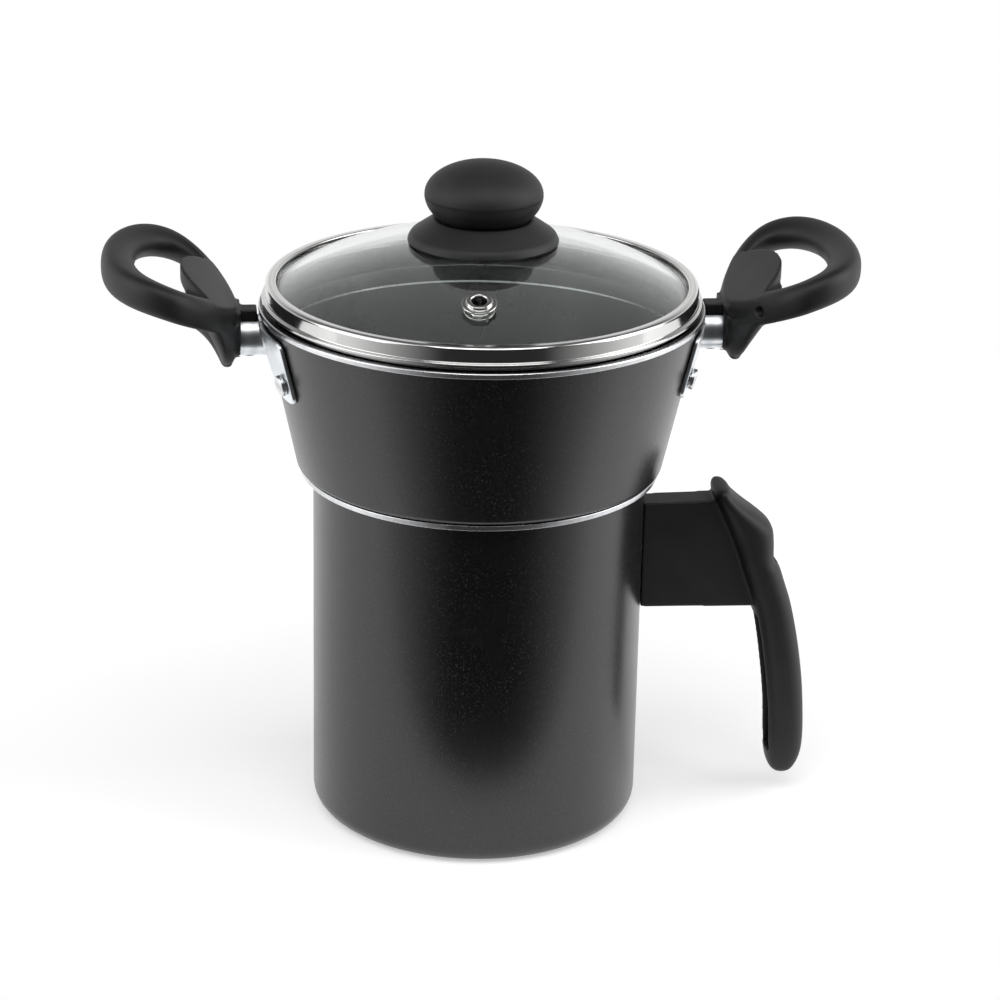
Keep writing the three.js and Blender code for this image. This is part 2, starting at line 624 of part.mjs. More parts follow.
// Height of the arched top of a loop handle at a distance from the bowl's axis.
const loopTop = (x) => BOWL_TOP + LOOP_TOP - LOOP_RISE * ((LOOP_TIP - x) / LOOP_LENGTH) ** LOOP_ARCH;

// The cosine or sine of an oval, made squarer.
const squared = (value, squareness) => Math.sign(value) * Math.abs(value) ** (2 / squareness);

// The outline of a loop handle in plan.
function loopOutline(angle, inset = 0) {
  const x = squared(Math.cos(angle), LOOP_SQUARENESS) * (LOOP_LENGTH / 2 - inset);
  const y = squared(Math.sin(angle), LOOP_SQUARENESS) * (LOOP_WIDTH / 2 - inset);
  return new THREE.Vector2(LOOP_TIP - LOOP_LENGTH / 2 + x, y);
}

// The loop is a bar swept round an oval: a rounded section between the outer oval and the finger hole.
function handleLoop() {
  const holeMiddle = LOOP_TIP - LOOP_BAR - HOLE_DEPTH / 2;
  const rings = Array.from({ length: LOOP_STEPS }, (_, i) => {
    const angle = (2 * Math.PI * i) / LOOP_STEPS;
    const outer = loopOutline(angle);
    const inner = new THREE.Vector2(
      holeMiddle + (Math.cos(angle) * HOLE_DEPTH) / 2,
      Math.sin(angle) * (LOOP_WIDTH / 2 - LOOP_BAR),
    );
    return Array.from({ length: BAR_SECTION_POINTS }, (__, k) => {
      const round = (2 * Math.PI * k) / BAR_SECTION_POINTS;
      const across = (1 + squared(Math.cos(round), BAR_SQUARENESS)) / 2;
      const at = inner.clone().lerp(outer, across);
      const inwards = (1 - across) ** 2;
      const top = loopTop(at.x) - BAR_INNER_DROP * inwards;
      const half = (LOOP_THICKNESS - (BAR_INNER_DROP + BAR_INNER_LIFT) * inwards) / 2;
      return new THREE.Vector3(at.x, at.y, top - half + half * squared(Math.sin(round), BAR_SQUARENESS));
    });
  });
  return solid(ringLoft(rings));
}

// The flat pad for the thumb: it fills the root end of the loop, up to a curved edge at the finger hole.
function handlePad() {
  const turns = Array.from({ length: 2 * LOOP_STEPS }, (_, i) => (Math.PI * i) / LOOP_STEPS);
  const plan = new THREE.Shape(turns.map((angle) => loopOutline(angle, PAD_INSET)));
  const edge = new THREE.Shape();
  edge.absarc(LOOP_ROOT + PAD_DEPTH - PAD_EDGE_RADIUS, 0, PAD_EDGE_RADIUS, -1, 1);
  const steps = 6;
  const along = Array.from({ length: steps + 1 }, (_, i) => LOOP_ROOT + (PAD_DEPTH * i) / steps);
  const side = new THREE.Shape([
    ...along.map((x) => new THREE.Vector2(x, loopTop(x) - SEAT_GAP)),
    ...along.reverse().map((x) => new THREE.Vector2(x, loopTop(x) - PAD_THICKNESS)),
  ]);
  const column = (shape, segments) => solid(slab(shape, 4 * LOOP_RISE, 0, segments).translate(0, 0, BOWL_TOP));
  return column(plan, 1)
    .intersect(column(edge, 4 * FILLET_FACETS))
    .intersect(solid(standing(slab(side, LOOP_WIDTH))));
}

// The nose hangs from the root of the loop: a stack of slices that narrows to its tip, with a collar at the ferrule.
function handleNose() {
  const rings = NOSE_SLICES.map(([height, from, to, halfWidth]) =>
    Array.from({ length: NOSE_POINTS }, (_, k) => {
      const angle = (2 * Math.PI * k) / NOSE_POINTS;
      const along = squared(Math.cos(angle), NOSE_SQUARENESS);
      const across = squared(Math.sin(angle), NOSE_SQUARENESS);
      const middle = LOOP_ROOT + (from + to) / 2;
      return new THREE.Vector3(middle + (along * (to - from)) / 2, across * halfWidth, BOWL_TOP + height);
    }),
  );
  const bottom = BOWL_TOP + NOSE_COLLAR_BOTTOM;
  const half = NOSE_COLLAR_HALF_WIDTH;
  const collar = outlineShape([
    [-half, BOWL_TOP - SEAT_GAP],
    [-half, bottom, half * FULL_ROUND],
    [half, bottom, half * FULL_ROUND],
    [half, BOWL_TOP - SEAT_GAP],
  ]);
  const middle = LOOP_ROOT + NOSE_COLLAR_DEPTH / 2;
  return solid(ringLoft(rings, true)).add(solid(crosswise(slab(collar, NOSE_COLLAR_DEPTH)).translate(middle, 0, 0)));
}

function sideHandle() {
  const tongueHalf = FERRULE_WIDTH / 2 - SHEET - SEAT_GAP;
  const tongueBottom = BOWL_TOP + FERRULE_BOTTOM + SHEET + SEAT_GAP;
  const tongueStart = BOWL_LIP_RADIUS + TONGUE_START;
  const tongueEnd = LOOP_ROOT + TONGUE_END;
  const tongue = outlineShape([
    [-tongueHalf, BOWL_TOP + TONGUE_TOP],
    [-tongueHalf, tongueBottom, tongueHalf * FULL_ROUND],
    [tongueHalf, tongueBottom, tongueHalf * FULL_ROUND],
    [tongueHalf, BOWL_TOP + TONGUE_TOP],
  ]);
  const tongueBar = solid(
    crosswise(slab(tongue, tongueEnd - tongueStart)).translate((tongueStart + tongueEnd) / 2, 0, 0),
  );
  const cheek = NOSE_SLICES.find(([height]) => height >= DIMPLE_HEIGHT)[3];
  const dimple = new THREE.SphereGeometry(1, FASTENER_FACETS, FASTENER_FACETS)
    .scale(DIMPLE_LENGTH / 2, DIMPLE_DEPTH, DIMPLE_WIDTH / 2)
    .translate(BOWL_LIP_RADIUS + DIMPLE_REACH, -cheek, BOWL_TOP + DIMPLE_HEIGHT);
  return handleLoop()
    .add(handlePad())
    .add(handleNose())
    .subtract(ferruleBar(SEAT_GAP, LOOP_ROOT - FERRULE_LENGTH, FERRULE_END + SEAT_GAP))
    .add(tongueBar)
    .subtract(sideScrew(HOLE_CLEARANCE))
    .subtract(solid(dimple))
    .subtract(bowlClearance(SEAT_GAP));
}

// A perforated disc with rings of steam holes, each ring a pitch further out and with a first ring's holes more.
function steamPlate() {
  const radius = BOWL_FOOT_RADIUS - BOWL_WALL - PLATE_CLEARANCE;
  const disc = new THREE.Shape();
  disc.absarc(0, 0, radius, 0, 2 * Math.PI);
  const addHole = (x, y) => {
    const hole = new THREE.Path();
    hole.absarc(x, y, PLATE_HOLE_RADIUS, 0, 2 * Math.PI);
    disc.holes.push(new THREE.Path(hole.getPoints(HOLE_FACETS / 2).slice(0, -1)));
  };
  addHole(0, 0);
  const rings = Math.floor((radius - PLATE_BORDER) / PLATE_RING_PITCH);
  for (let ring = 1; ring <= rings; ring += 1) {
    const count = HOLES_IN_FIRST_RING * ring;
    for (let i = 0; i < count; i += 1) {
      const angle = (2 * Math.PI * i) / count;
      addHole(ring * PLATE_RING_PITCH * Math.cos(angle), ring * PLATE_RING_PITCH * Math.sin(angle));
    }
  }
  const z = LEDGE_Z + SEAT_GAP + PLATE_THICKNESS / 2;
  return solid(slab(disc, PLATE_THICKNESS, 0, BODY_FACETS / 2).translate(0, 0, z));
}

// The vent stands square to the dome of the glass.
const VENT_TILT = Math.asin(VENT_REACH / GLASS_DOME_RADIUS);
const onGlass = (geometry) =>
  geometry
    .translate(0, 0, GLASS_DOME_RADIUS)
    .rotateY(VENT_TILT)
    .rotateZ(THREE.MathUtils.degToRad(VENT_AZIMUTH))
    .translate(0, 0, GLASS_CENTRE_Z);

function lidGlass() {
  const rings = 5;
  const radii = Array.from({ length: rings + 1 }, (_, i) => (GLASS_RADIUS * i) / rings);
  const dome = turned([
    ...radii.map((r) => [r, glassUnder(r)]),
    ...radii.reverse().map((r) => [r, glassTop(r)]),
  ]);
  const bore = new THREE.CylinderGeometry(GLASS_HOLE_RADIUS, GLASS_HOLE_RADIUS, 8 * GLASS_THICKNESS, FASTENER_FACETS)
    .rotateX(Math.PI / 2)
    .translate(0, 0, glassTop(0));
  const ventRadius = VENT_RADIUS + VENT_TUBE_WALL + HOLE_CLEARANCE;
  const vent = new THREE.CylinderGeometry(ventRadius, ventRadius, 8 * GLASS_THICKNESS, FASTENER_FACETS)
    .rotateX(Math.PI / 2);
  return solid(dome).subtract(solid(bore)).subtract(solid(onGlass(vent)));
}

// The rim: a channel round the edge of the glass, an outward lip over the bowl's lip and a skirt inside its mouth.
function lidRim() {
  const cover = GLASS_RADIUS - RIM_COVER;
  const groove = GLASS_RADIUS + SEAT_GAP;
  const skirtOut = BOWL_WALL_TOP_RADIUS - BOWL_WALL - RIM_CLEARANCE - RIM_SKIRT * BOWL_SLOPE;
  const skirtIn = skirtOut - RIM_SKIRT_WALL;
  const lipBottom = RIM_BOTTOM + LID_LIP_HEIGHT;
  return solid(
    turned(
      [
        [skirtIn, RIM_BOTTOM - RIM_SKIRT],
        [skirtOut, RIM_BOTTOM - RIM_SKIRT],
        [skirtOut, RIM_BOTTOM],
        [RIM_RADIUS, RIM_BOTTOM],
        [RIM_RADIUS, lipBottom],
        [LID_LIP_RADIUS, lipBottom],
        [LID_LIP_RADIUS, lipBottom + LID_LIP],
        [RIM_RADIUS, lipBottom + LID_LIP, LID_LIP / 3],
        [RIM_RADIUS, RIM_TOP, RIM_WALL],
        [cover, RIM_TOP],
        [cover, glassTop(cover) + SEAT_GAP],
        [groove, glassTop(cover) + SEAT_GAP],
        [groove, glassUnder(GLASS_RADIUS) - SEAT_GAP],
        [GLASS_RADIUS - SEAT_GAP, glassUnder(GLASS_RADIUS) - SEAT_GAP],
        [skirtIn, glassUnder(skirtIn) - SEAT_GAP],
      ],
      { closed: true },
    ),
  );
}

function ventEyelet() {
  const tube = VENT_RADIUS + VENT_TUBE_WALL;
  const under = -GLASS_THICKNESS - 1.5 * SEAT_GAP;
  const body = turned(
    [
      [VENT_RADIUS, under - VENT_FLANGE],
      [VENT_FLANGE_RADIUS - VENT_FLANGE, under - VENT_FLANGE],
      [VENT_FLANGE_RADIUS - VENT_FLANGE, under],
      [tube, under],
      [tube, SEAT_GAP],
      [VENT_FLANGE_RADIUS, SEAT_GAP],
      [VENT_FLANGE_RADIUS, SEAT_GAP + VENT_FLANGE],
      [VENT_COLLAR_RADIUS, SEAT_GAP + VENT_FLANGE],
      [VENT_COLLAR_RADIUS, SEAT_GAP + VENT_COLLAR_HEIGHT, VENT_TUBE_WALL],
      [VENT_RADIUS, SEAT_GAP + VENT_COLLAR_HEIGHT, VENT_TUBE_WALL],
    ],
    { closed: true, facets: FASTENER_FACETS },
  );
  return solid(onGlass(body));
}

// Heights of the stack that clamps the knob to the glass.
const HUB_BOTTOM = glassTop(0) + SEAT_GAP;
const SKIRT_FLOOR_TOP = HUB_BOTTOM + SKIRT_FLOOR;
const STEM_BOTTOM = SKIRT_FLOOR_TOP + SEAT_GAP;
const GASKET_TOP = glassUnder(SEAL_RADIUS) - SEAT_GAP;
const SEAL_WASHER_TOP = GASKET_TOP - SEAL_THICKNESS - SEAT_GAP;
const SCREW_HEAD_TOP = SEAL_WASHER_TOP - WASHER_THICKNESS - SEAT_GAP;
const KNOB_SCREW_BORE = KNOB_SCREW_RADIUS + HOLE_CLEARANCE;

// The bell under the knob: a domed shell whose rim stands on the glass, with a dished floor that takes the stem.
function knobSkirt() {
  const bottom = glassTop(SKIRT_RADIUS) + SEAT_GAP;
  const top = bottom + SKIRT_HEIGHT;
  const mouth = SKIRT_MOUTH_RADIUS + SKIRT_RIM;
  const shoulder = (SKIRT_RADIUS - mouth) / 2;
  const hub = SKIRT_MOUTH_RADIUS * 0.6;
  return solid(
    turned(
      [
        [KNOB_SCREW_BORE, HUB_BOTTOM],
        [hub, HUB_BOTTOM],
        [SKIRT_MOUTH_RADIUS, HUB_BOTTOM + SKIRT_WALL / 2],
        [SKIRT_RADIUS - SKIRT_WALL, glassTop(SKIRT_RADIUS - SKIRT_WALL) + SEAT_GAP],
        [SKIRT_RADIUS, bottom],
        [SKIRT_RADIUS - SKIRT_WALL / 2, bottom + SKIRT_HEIGHT / 3, shoulder],
        [mouth, top, SKIRT_RIM / 2],
        [SKIRT_MOUTH_RADIUS, top, SKIRT_RIM / 2],
        [SKIRT_MOUTH_RADIUS, SKIRT_FLOOR_TOP],
        [KNOB_SCREW_BORE, SKIRT_FLOOR_TOP],
      ],
      { closed: true, facets: KNOB_FACETS },
    ),
  );
}

// The knob: a stem that swells to a flattened ball, elliptical below and above its widest turn.
function knobBody() {
  const widest = STEM_BOTTOM + KNOB_BELLY_HEIGHT;
  const bore = INSERT_RADIUS + HOLE_CLEARANCE;
  const boreTop = STEM_BOTTOM + INSERT_LENGTH + SEAT_GAP;
  const start = Math.acos(KNOB_STEM_RADIUS / KNOB_RADIUS);
  const bellyHeight = (KNOB_BELLY_HEIGHT - KNOB_STEM_HEIGHT) / Math.sin(start);
  const steps = 5;
  const arc = Array.from({ length: steps + 1 }, (_, i) => i / steps);
  return solid(
    turned(
      [
        [0, boreTop],
        [bore, boreTop],
        [bore, STEM_BOTTOM],
        [KNOB_STEM_RADIUS, STEM_BOTTOM],
        ...arc.map((t) => {
          const angle = -start * (1 - t);
          return [KNOB_RADIUS * Math.cos(angle), widest + bellyHeight * Math.sin(angle)];
        }),
        ...arc.slice(1).map((t) => {
          const angle = (t * Math.PI) / 2;
          return [t === 1 ? 0 : KNOB_RADIUS * Math.cos(angle), widest + KNOB_CROWN_HEIGHT * Math.sin(angle)];
        }),
      ],
      { facets: KNOB_FACETS },
    ),
  );
}

// A flat ring about Z, given by its radii and the heights of its two faces.
const ring = (inside, outside, bottom, top, facets = 2 * FASTENER_FACETS) =>
  solid(
    turned(
      [
        [inside, bottom],
        [outside, bottom],
        [outside, top],
        [inside, top],
      ],
      { closed: true, facets },
    ),
  );

function knobScrew() {
  return solid(
    turned(
      [
        [0, SCREW_HEAD_TOP - KNOB_SCREW_HEAD],
        [KNOB_SCREW_HEAD_RADIUS, SCREW_HEAD_TOP - KNOB_SCREW_HEAD, KNOB_SCREW_HEAD / 2],
        [KNOB_SCREW_HEAD_RADIUS, SCREW_HEAD_TOP],
        [KNOB_SCREW_RADIUS, SCREW_HEAD_TOP],
        [KNOB_SCREW_RADIUS, STEM_BOTTOM + KNOB_SCREW_ENGAGEMENT],
        [0, STEM_BOTTOM + KNOB_SCREW_ENGAGEMENT],
      ],
      { facets: FASTENER_FACETS },
    ),
  );
}

const boiler = new THREE.Group();
boiler.add(piece("mug_body", mugBody(), coated), ...mugHandlePieces());

const bowl = new THREE.Group();
bowl.add(piece("steamer_bowl", steamerBowl(), coated));
for (const [side, turn] of Object.entries(SIDES)) {
  const group = new THREE.Group();
  group.rotation.z = turn;
  group.add(
    piece(`${side}_handle_bracket`, handleBracket(), chromed),
    piece(`${side}_side_handle`, sideHandle(), phenolic),
    piece(`${side}_handle_screw`, sideScrew(), stainless),
  );
  for (const [end, way] of Object.entries(ENDS[side])) {
    group.add(piece(`${side}_${end}_rivet`, solid(onBowlWall(rivetBody(), way * RIVET_AZIMUTH)), aluminium));
  }
  bowl.add(group);
}

const plate = new THREE.Group();
plate.add(piece("steam_plate", steamPlate(), aluminium));

const lid = new THREE.Group();
lid.add(
  piece("lid_glass", lidGlass(), glass),
  piece("lid_rim", lidRim(), stainless),
  piece("vent_eyelet", ventEyelet(), stainless),
  piece("knob_skirt", knobSkirt(), phenolic),
  piece("knob", knobBody(), phenolic),
  piece("knob_insert", ring(KNOB_SCREW_BORE, INSERT_RADIUS, STEM_BOTTOM, STEM_BOTTOM + INSERT_LENGTH), brass),
  piece("knob_screw", knobScrew(), stainless),
  piece("knob_washer", ring(KNOB_SCREW_BORE, SEAL_RADIUS, SEAL_WASHER_TOP - WASHER_THICKNESS, SEAL_WASHER_TOP), stainless),
  piece("knob_gasket", ring(KNOB_SCREW_BORE, SEAL_RADIUS, GASKET_TOP - SEAL_THICKNESS, GASKET_TOP), silicone),
);

const steamer = new THREE.Group();
steamer.add(boiler, bowl, plate, lid);

export default steamer;
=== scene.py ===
# %% [markdown]
# # A couscous steamer for one, dressed for a studio picture
# The steamer is a tall boiler mug, a tapered bowl that nests on it, a loose perforated plate and a glass lid.
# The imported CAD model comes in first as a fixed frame, and each visible piece is then made finer in its place.
# Sizes are in millimetres, and heights count from the worktop, unless a comment says otherwise.

# %% Load the frame
import math
import bmesh
import bpy
from mathutils import Matrix, Vector


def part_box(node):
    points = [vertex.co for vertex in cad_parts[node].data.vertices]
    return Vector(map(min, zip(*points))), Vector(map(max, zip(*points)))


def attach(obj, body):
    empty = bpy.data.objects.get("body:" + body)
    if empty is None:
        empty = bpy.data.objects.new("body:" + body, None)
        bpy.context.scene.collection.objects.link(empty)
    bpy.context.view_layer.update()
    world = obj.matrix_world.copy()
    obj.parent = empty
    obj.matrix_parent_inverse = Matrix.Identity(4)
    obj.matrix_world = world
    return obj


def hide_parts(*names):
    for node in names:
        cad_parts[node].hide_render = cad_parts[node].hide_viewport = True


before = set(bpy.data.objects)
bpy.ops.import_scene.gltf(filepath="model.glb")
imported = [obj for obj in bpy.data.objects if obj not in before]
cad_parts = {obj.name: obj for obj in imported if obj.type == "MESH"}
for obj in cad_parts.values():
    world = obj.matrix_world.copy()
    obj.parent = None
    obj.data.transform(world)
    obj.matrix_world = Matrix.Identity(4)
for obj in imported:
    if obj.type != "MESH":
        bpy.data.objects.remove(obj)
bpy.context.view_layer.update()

scene = bpy.context.scene
MM = 0.001
GAP = 0.3  # clearance between pieces that seat on each other

# %% [markdown]
# ## Camera
# The photograph looks a little down on the steamer with a long lens, and it is turned by one degree.
# A camera could be aimed by hand; here it stands on a measured direction, so the same view comes back.
# The lens shift only moves the picture in its frame, which keeps the perspective.

# %% Camera
AZIMUTH, ELEVATION, ROLL = (math.radians(angle) for angle in (-6, 20.8, 1.04))
CAMERA_DISTANCE, AIM_HEIGHT = 1.2, 128.5 * MM  # metres
FOCAL_LENGTH, SENSOR_WIDTH, SHIFT = 115.55, 36, (0.0212, -0.0182)
backwards = Vector((
    math.sin(AZIMUTH) * math.cos(ELEVATION),
    -math.cos(AZIMUTH) * math.cos(ELEVATION),
    math.sin(ELEVATION),
))
camera_data = bpy.data.cameras.new("studio_camera")
camera = bpy.data.objects.new("studio_camera", camera_data)
scene.collection.objects.link(camera)
stand = Matrix.Translation(Vector((0, 0, AIM_HEIGHT)) + backwards * CAMERA_DISTANCE)
facing = backwards.to_track_quat("Z", "Y").to_matrix().to_4x4()
camera.matrix_world = stand @ facing @ Matrix.Rotation(ROLL, 4, "Z")
camera_data.lens = FOCAL_LENGTH
camera_data.sensor_width = SENSOR_WIDTH
camera_data.shift_x, camera_data.shift_y = SHIFT
camera_data.clip_start = 0.01
scene.camera = camera
print("camera at", [round(c, 3) for c in camera.location])

# %% [markdown]
# ## Helpers for materials
# A colour is written as the eye sees it on a screen, in sRGB hex, while shaders count in linear light.
# One function turns the first into the second, and one adds a node with its settings, links and colour stops.

# %% Material helpers
def linear(hex_colour):
    """Linear RGBA of an sRGB colour such as '#404040'."""
    parts = [int(hex_colour[i:i + 2], 16) / 255 for i in (1, 3, 5)]
    return [c / 12.92 if c <= 0.04045 else ((c + 0.055) / 1.055) ** 2.4 for c in parts] + [1.0]


def set_inputs(tree, node, inputs):
    """Sets a node's inputs. Each takes a plain value or another node's output."""
    for name, value in inputs.items():
        if isinstance(value, bpy.types.NodeSocket):
            tree.links.new(value, node.inputs[name])
        else:
            node.inputs[name].default_value = value


def add_node(tree, kind, settings=None, inputs=None, stops=()):
    """Adds a node. Stops of (position, hex colour) are for a colour ramp."""
    node = tree.nodes.new(kind)
    for name, value in (settings or {}).items():
        setattr(node, name, value)
    set_inputs(tree, node, inputs or {})
    for i, (position, colour) in enumerate(stops):
        elements = node.color_ramp.elements
        element = elements[i] if i < len(elements) else elements.new(position)
        element.position = position
        element.color = linear(colour)
    return node


def start_material(name, constants):
    """A material with the constants of its Principled shader set, and Object coordinates for its patterns."""
    material = bpy.data.materials.new(name)
    material.use_nodes = True
    tree = material.node_tree
    shader = tree.nodes["Principled BSDF"]
    set_inputs(tree, shader, constants)
    return material, tree, shader, add_node(tree, "ShaderNodeTexCoord").outputs["Object"]


print("white is", linear("#ffffff"))

# %% [markdown]
# ## Non-stick coat
# The mug and the bowl are drawn aluminium, sprayed outside and inside with a charcoal non-stick coat and baked.
# The eye gets a dark satin skin with a fine pale speckle, slightly warm, and a grain that softens highlights.
# A speckle could be painted; noise at the size of the flakes does it without an image.

# %% Non-stick coat, sprayed and baked
FLAKE = 0.6 * MM  # real flakes are half this, drawn coarser so that they show
CLOUD = 30 * MM
coat, tree, shader, place = start_material("nonstick_coat_sprayed", {"IOR": 1.62})
flakes = add_node(tree, "ShaderNodeTexNoise", inputs={"Vector": place, "Scale": 1 / FLAKE, "Detail": 2.0})
clouds = add_node(tree, "ShaderNodeTexNoise", inputs={"Vector": place, "Scale": 1 / CLOUD, "Detail": 3.0})
speckle = add_node(
    tree, "ShaderNodeValToRGB", inputs={"Fac": flakes.outputs["Fac"]},
    stops=[(0.4, "#0a090a"), (0.57, "#131113"), (0.74, "#393438")],
)
satin = add_node(
    tree, "ShaderNodeMapRange", inputs={"Value": clouds.outputs["Fac"], "To Min": 0.24, "To Max": 0.31}
)
grain = add_node(
    tree, "ShaderNodeBump", inputs={"Height": flakes.outputs["Fac"], "Strength": 0.35, "Distance": 0.05 * MM}
)
set_inputs(tree, shader, {
    "Base Color": speckle.outputs["Color"],
    "Roughness": satin.outputs["Result"],
    "Normal": grain.outputs["Normal"],
})
print("made", coat.name)

# %% [markdown]
# ## Bare and polished metals
# The lips of the mug and of the bowl are trimmed on a lathe and left bare, so they carry fine turning rings.
# The lid's rim is rolled stainless steel, polished; the brackets are zinc-plated steel with faint smears.
# A metal needs no more than its colour, a roughness that varies, and rings or smears at their real spacing.

# %% Metals
SMEAR = 9 * MM
RING_SCALE = 6.3  # a wave at scale 1 has rings 0.314 m apart, so rings show at twice their real spacing


def ringed_metal(name, dark, bright, ring_spacing, roughness):
    """Turned metal: fine rings about Z, drawn coarser than they are so that they show."""
    material, tree, shader, place = start_material(name, {"Metallic": 1.0})
    rings = add_node(
        tree, "ShaderNodeTexWave", {"wave_type": "RINGS", "rings_direction": "Z"},
        {"Vector": place, "Scale": 1 / (ring_spacing * RING_SCALE), "Distortion": 1.5, "Detail": 2.0},
    )
    smears = add_node(tree, "ShaderNodeTexNoise", inputs={"Vector": place, "Scale": 1 / SMEAR, "Detail": 4.0})
    tone = add_node(
        tree, "ShaderNodeValToRGB", inputs={"Fac": rings.outputs["Fac"]}, stops=[(0.0, dark), (1.0, bright)]
    )
    gloss = add_node(
        tree, "ShaderNodeMapRange",
        inputs={"Value": smears.outputs["Fac"], "To Min": roughness * 0.7, "To Max": roughness * 1.3},
    )
    set_inputs(tree, shader, {"Base Color": tone.outputs["Color"], "Roughness": gloss.outputs["Result"]})
    return material


bare_aluminium = ringed_metal("aluminium_turned", "#c4c5c8", "#e4e5e7", 0.5 * MM, 0.28)
plate_aluminium = ringed_metal("aluminium_pressed", "#b4b6b9", "#cccdd0", 1.2 * MM, 0.36)
stainless = ringed_metal("stainless_steel_polished", "#cfcfce", "#dedddc", 0.8 * MM, 0.14)
plated = ringed_metal("zinc_plated_steel", "#dde2e6", "#f2f5f7", 2.5 * MM, 0.34)
brass = ringed_metal("brass_turned", "#a68a3e", "#c9ad5e", 0.4 * MM, 0.3)
print("made", [m.name for m in (bare_aluminium, plate_aluminium, stainless, plated, brass)])

# %% [markdown]
# ## Moulded phenolic, glass and silicone
# The handles and the knob are black phenolic moulding compound: hard, satin, with a fine mould texture.
# Real phenolic is never pure black, and a little dust and wear make it paler in places.
# The lid is tempered glass, clear with a faint green tint that shows in its thick edge.

# %% Phenolic, glass, silicone
TONE = 12 * MM
HAZE = 15 * MM


def moulded(name, dark, pale, roughness, grit, depth):
    """Moulding compound: a fine mould texture of a given grit, and slow changes of tone."""
    material, tree, shader, place = start_material(name, {"IOR": 1.5})
    texture = add_node(tree, "ShaderNodeTexNoise", inputs={"Vector": place, "Scale": 1 / grit, "Detail": 2.0})
    tone = add_node(tree, "ShaderNodeTexNoise", inputs={"Vector": place, "Scale": 1 / TONE, "Detail": 4.0})
    colour = add_node(
        tree, "ShaderNodeValToRGB", inputs={"Fac": tone.outputs["Fac"]}, stops=[(0.35, dark), (0.7, pale)]
    )
    gloss = add_node(
        tree, "ShaderNodeMapRange",
        inputs={"Value": tone.outputs["Fac"], "To Min": roughness - 0.04, "To Max": roughness + 0.06},
    )
    bump = add_node(
        tree, "ShaderNodeBump", inputs={"Height": texture.outputs["Fac"], "Strength": 0.5, "Distance": depth}
    )
    set_inputs(tree, shader, {
        "Base Color": colour.outputs["Color"],
        "Roughness": gloss.outputs["Result"],
        "Normal": bump.outputs["Normal"],
    })
    return material


phenolic = moulded("phenolic_satin", "#0b0b0c", "#151516", 0.54, 0.7 * MM, 0.05 * MM)
phenolic_matt = moulded("phenolic_matt", "#161617", "#202021", 0.6, 0.9 * MM, 0.08 * MM)
silicone = moulded("silicone_moulded", "#cfccc4", "#dedbd4", 0.6, 0.6 * MM, 0.03 * MM)
glass, tree, shader, place = start_material(
    "glass_tempered", {"Transmission Weight": 1.0, "IOR": 1.5, "Base Color": linear("#f8fcfa")}
)
haze = add_node(tree, "ShaderNodeTexNoise", inputs={"Vector": place, "Scale": 1 / HAZE, "Detail": 3.0})
wiped = add_node(
    tree, "ShaderNodeMapRange", inputs={"Value": haze.outputs["Fac"], "To Min": 0.0, "To Max": 0.02}
)
set_inputs(tree, shader, {"Roughness": wiped.outputs["Result"]})
print("made", [m.name for m in (phenolic, phenolic_matt, silicone, glass)])

# %% [markdown]
# ## Helpers for turned pieces
# Most of the steamer is turned or spun: one half section goes round an axis.
# The section is drawn by its corners, each corner is rounded with a vertex bevel, and spin sweeps it round.
# Then the seam is merged and the normals are turned outwards, because spin doesn't know which side is out.

# %% Turned pieces
ROUND_STEPS = 6
MERGE = 1e-6  # metres


def half_section(corners, closed):
    """Wire edges in the XZ plane from corners (radius, height, fillet radius)."""
    bm = bmesh.new()
    verts = [bm.verts.new((c[0] * MM, 0, c[1] * MM)) for c in corners]
    for a, b in zip(verts, verts[1:] + verts[:1] if closed else verts[1:]):
        bm.edges.new((a, b))
    for vert, corner in zip(verts, corners):
        if len(corner) < 3:
            continue
        ways = [edge.other_vert(vert).co - vert.co for edge in vert.link_edges]
        half_angle = ways[0].angle(ways[1]) / 2
        reach = min(corner[2] * MM / math.tan(half_angle), 0.48 * min(way.length for way in ways))
        bmesh.ops.bevel(
            bm, geom=[vert], offset=reach, offset_type="OFFSET", affect="VERTICES",
            segments=ROUND_STEPS, profile=0.5, material=-1,
        )
    return bm


def turned(corners, closed=False, steps=128):
    """A solid of revolution about Z. An open section starts and ends on the axis."""
    bm = half_section(corners, closed)
    bmesh.ops.spin(
        bm, geom=bm.verts[:] + bm.edges[:], cent=(0, 0, 0), axis=(0, 0, 1),
        angle=2 * math.pi, steps=steps, use_merge=True,
    )
    bmesh.ops.remove_doubles(bm, verts=bm.verts, dist=MERGE)
    bmesh.ops.recalc_face_normals(bm, faces=bm.faces)
    return bm


def rod(radius, bottom, top, steps=48):
    """A plain upright cutter."""
    return turned([(0, bottom), (radius, bottom), (radius, top), (0, top)], steps=steps)


def second_material(bm, test):
    """Gives the second material to the faces whose middle passes the test of (radius, height)."""
    for face in bm.faces:
        middle = face.calc_center_median() / MM
        if test(math.hypot(middle.x, middle.y), middle.z):
            face.material_index = 1


# %% Finished pieces
def finish_piece(bm, name, body, slot, node, *materials, sharp=40):
    """Makes the object, hangs it on the body it rides on, and hides the CAD node it stands for."""
    mesh = bpy.data.meshes.new(name)
    bm.to_mesh(mesh)
    bm.free()
    mesh.shade_smooth()
    mesh.set_sharp_from_angle(angle=math.radians(sharp))
    for material in materials:
        mesh.materials.append(material)
    piece = bpy.data.objects.new(name, mesh)
    scene.collection.objects.link(piece)
    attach(piece, body)
    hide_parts(node)
    print("made", name, len(mesh.polygons), "faces")
    return piece


print("a fillet has", ROUND_STEPS, "steps")

# %% [markdown]
# ## Boiler mug
# A deep-drawn cylinder with a rounded base and a lip turned outwards, trimmed bright at its edge.
# It could be a cylinder with bevels; a half section keeps wall, flare and lip in one line that can be read.

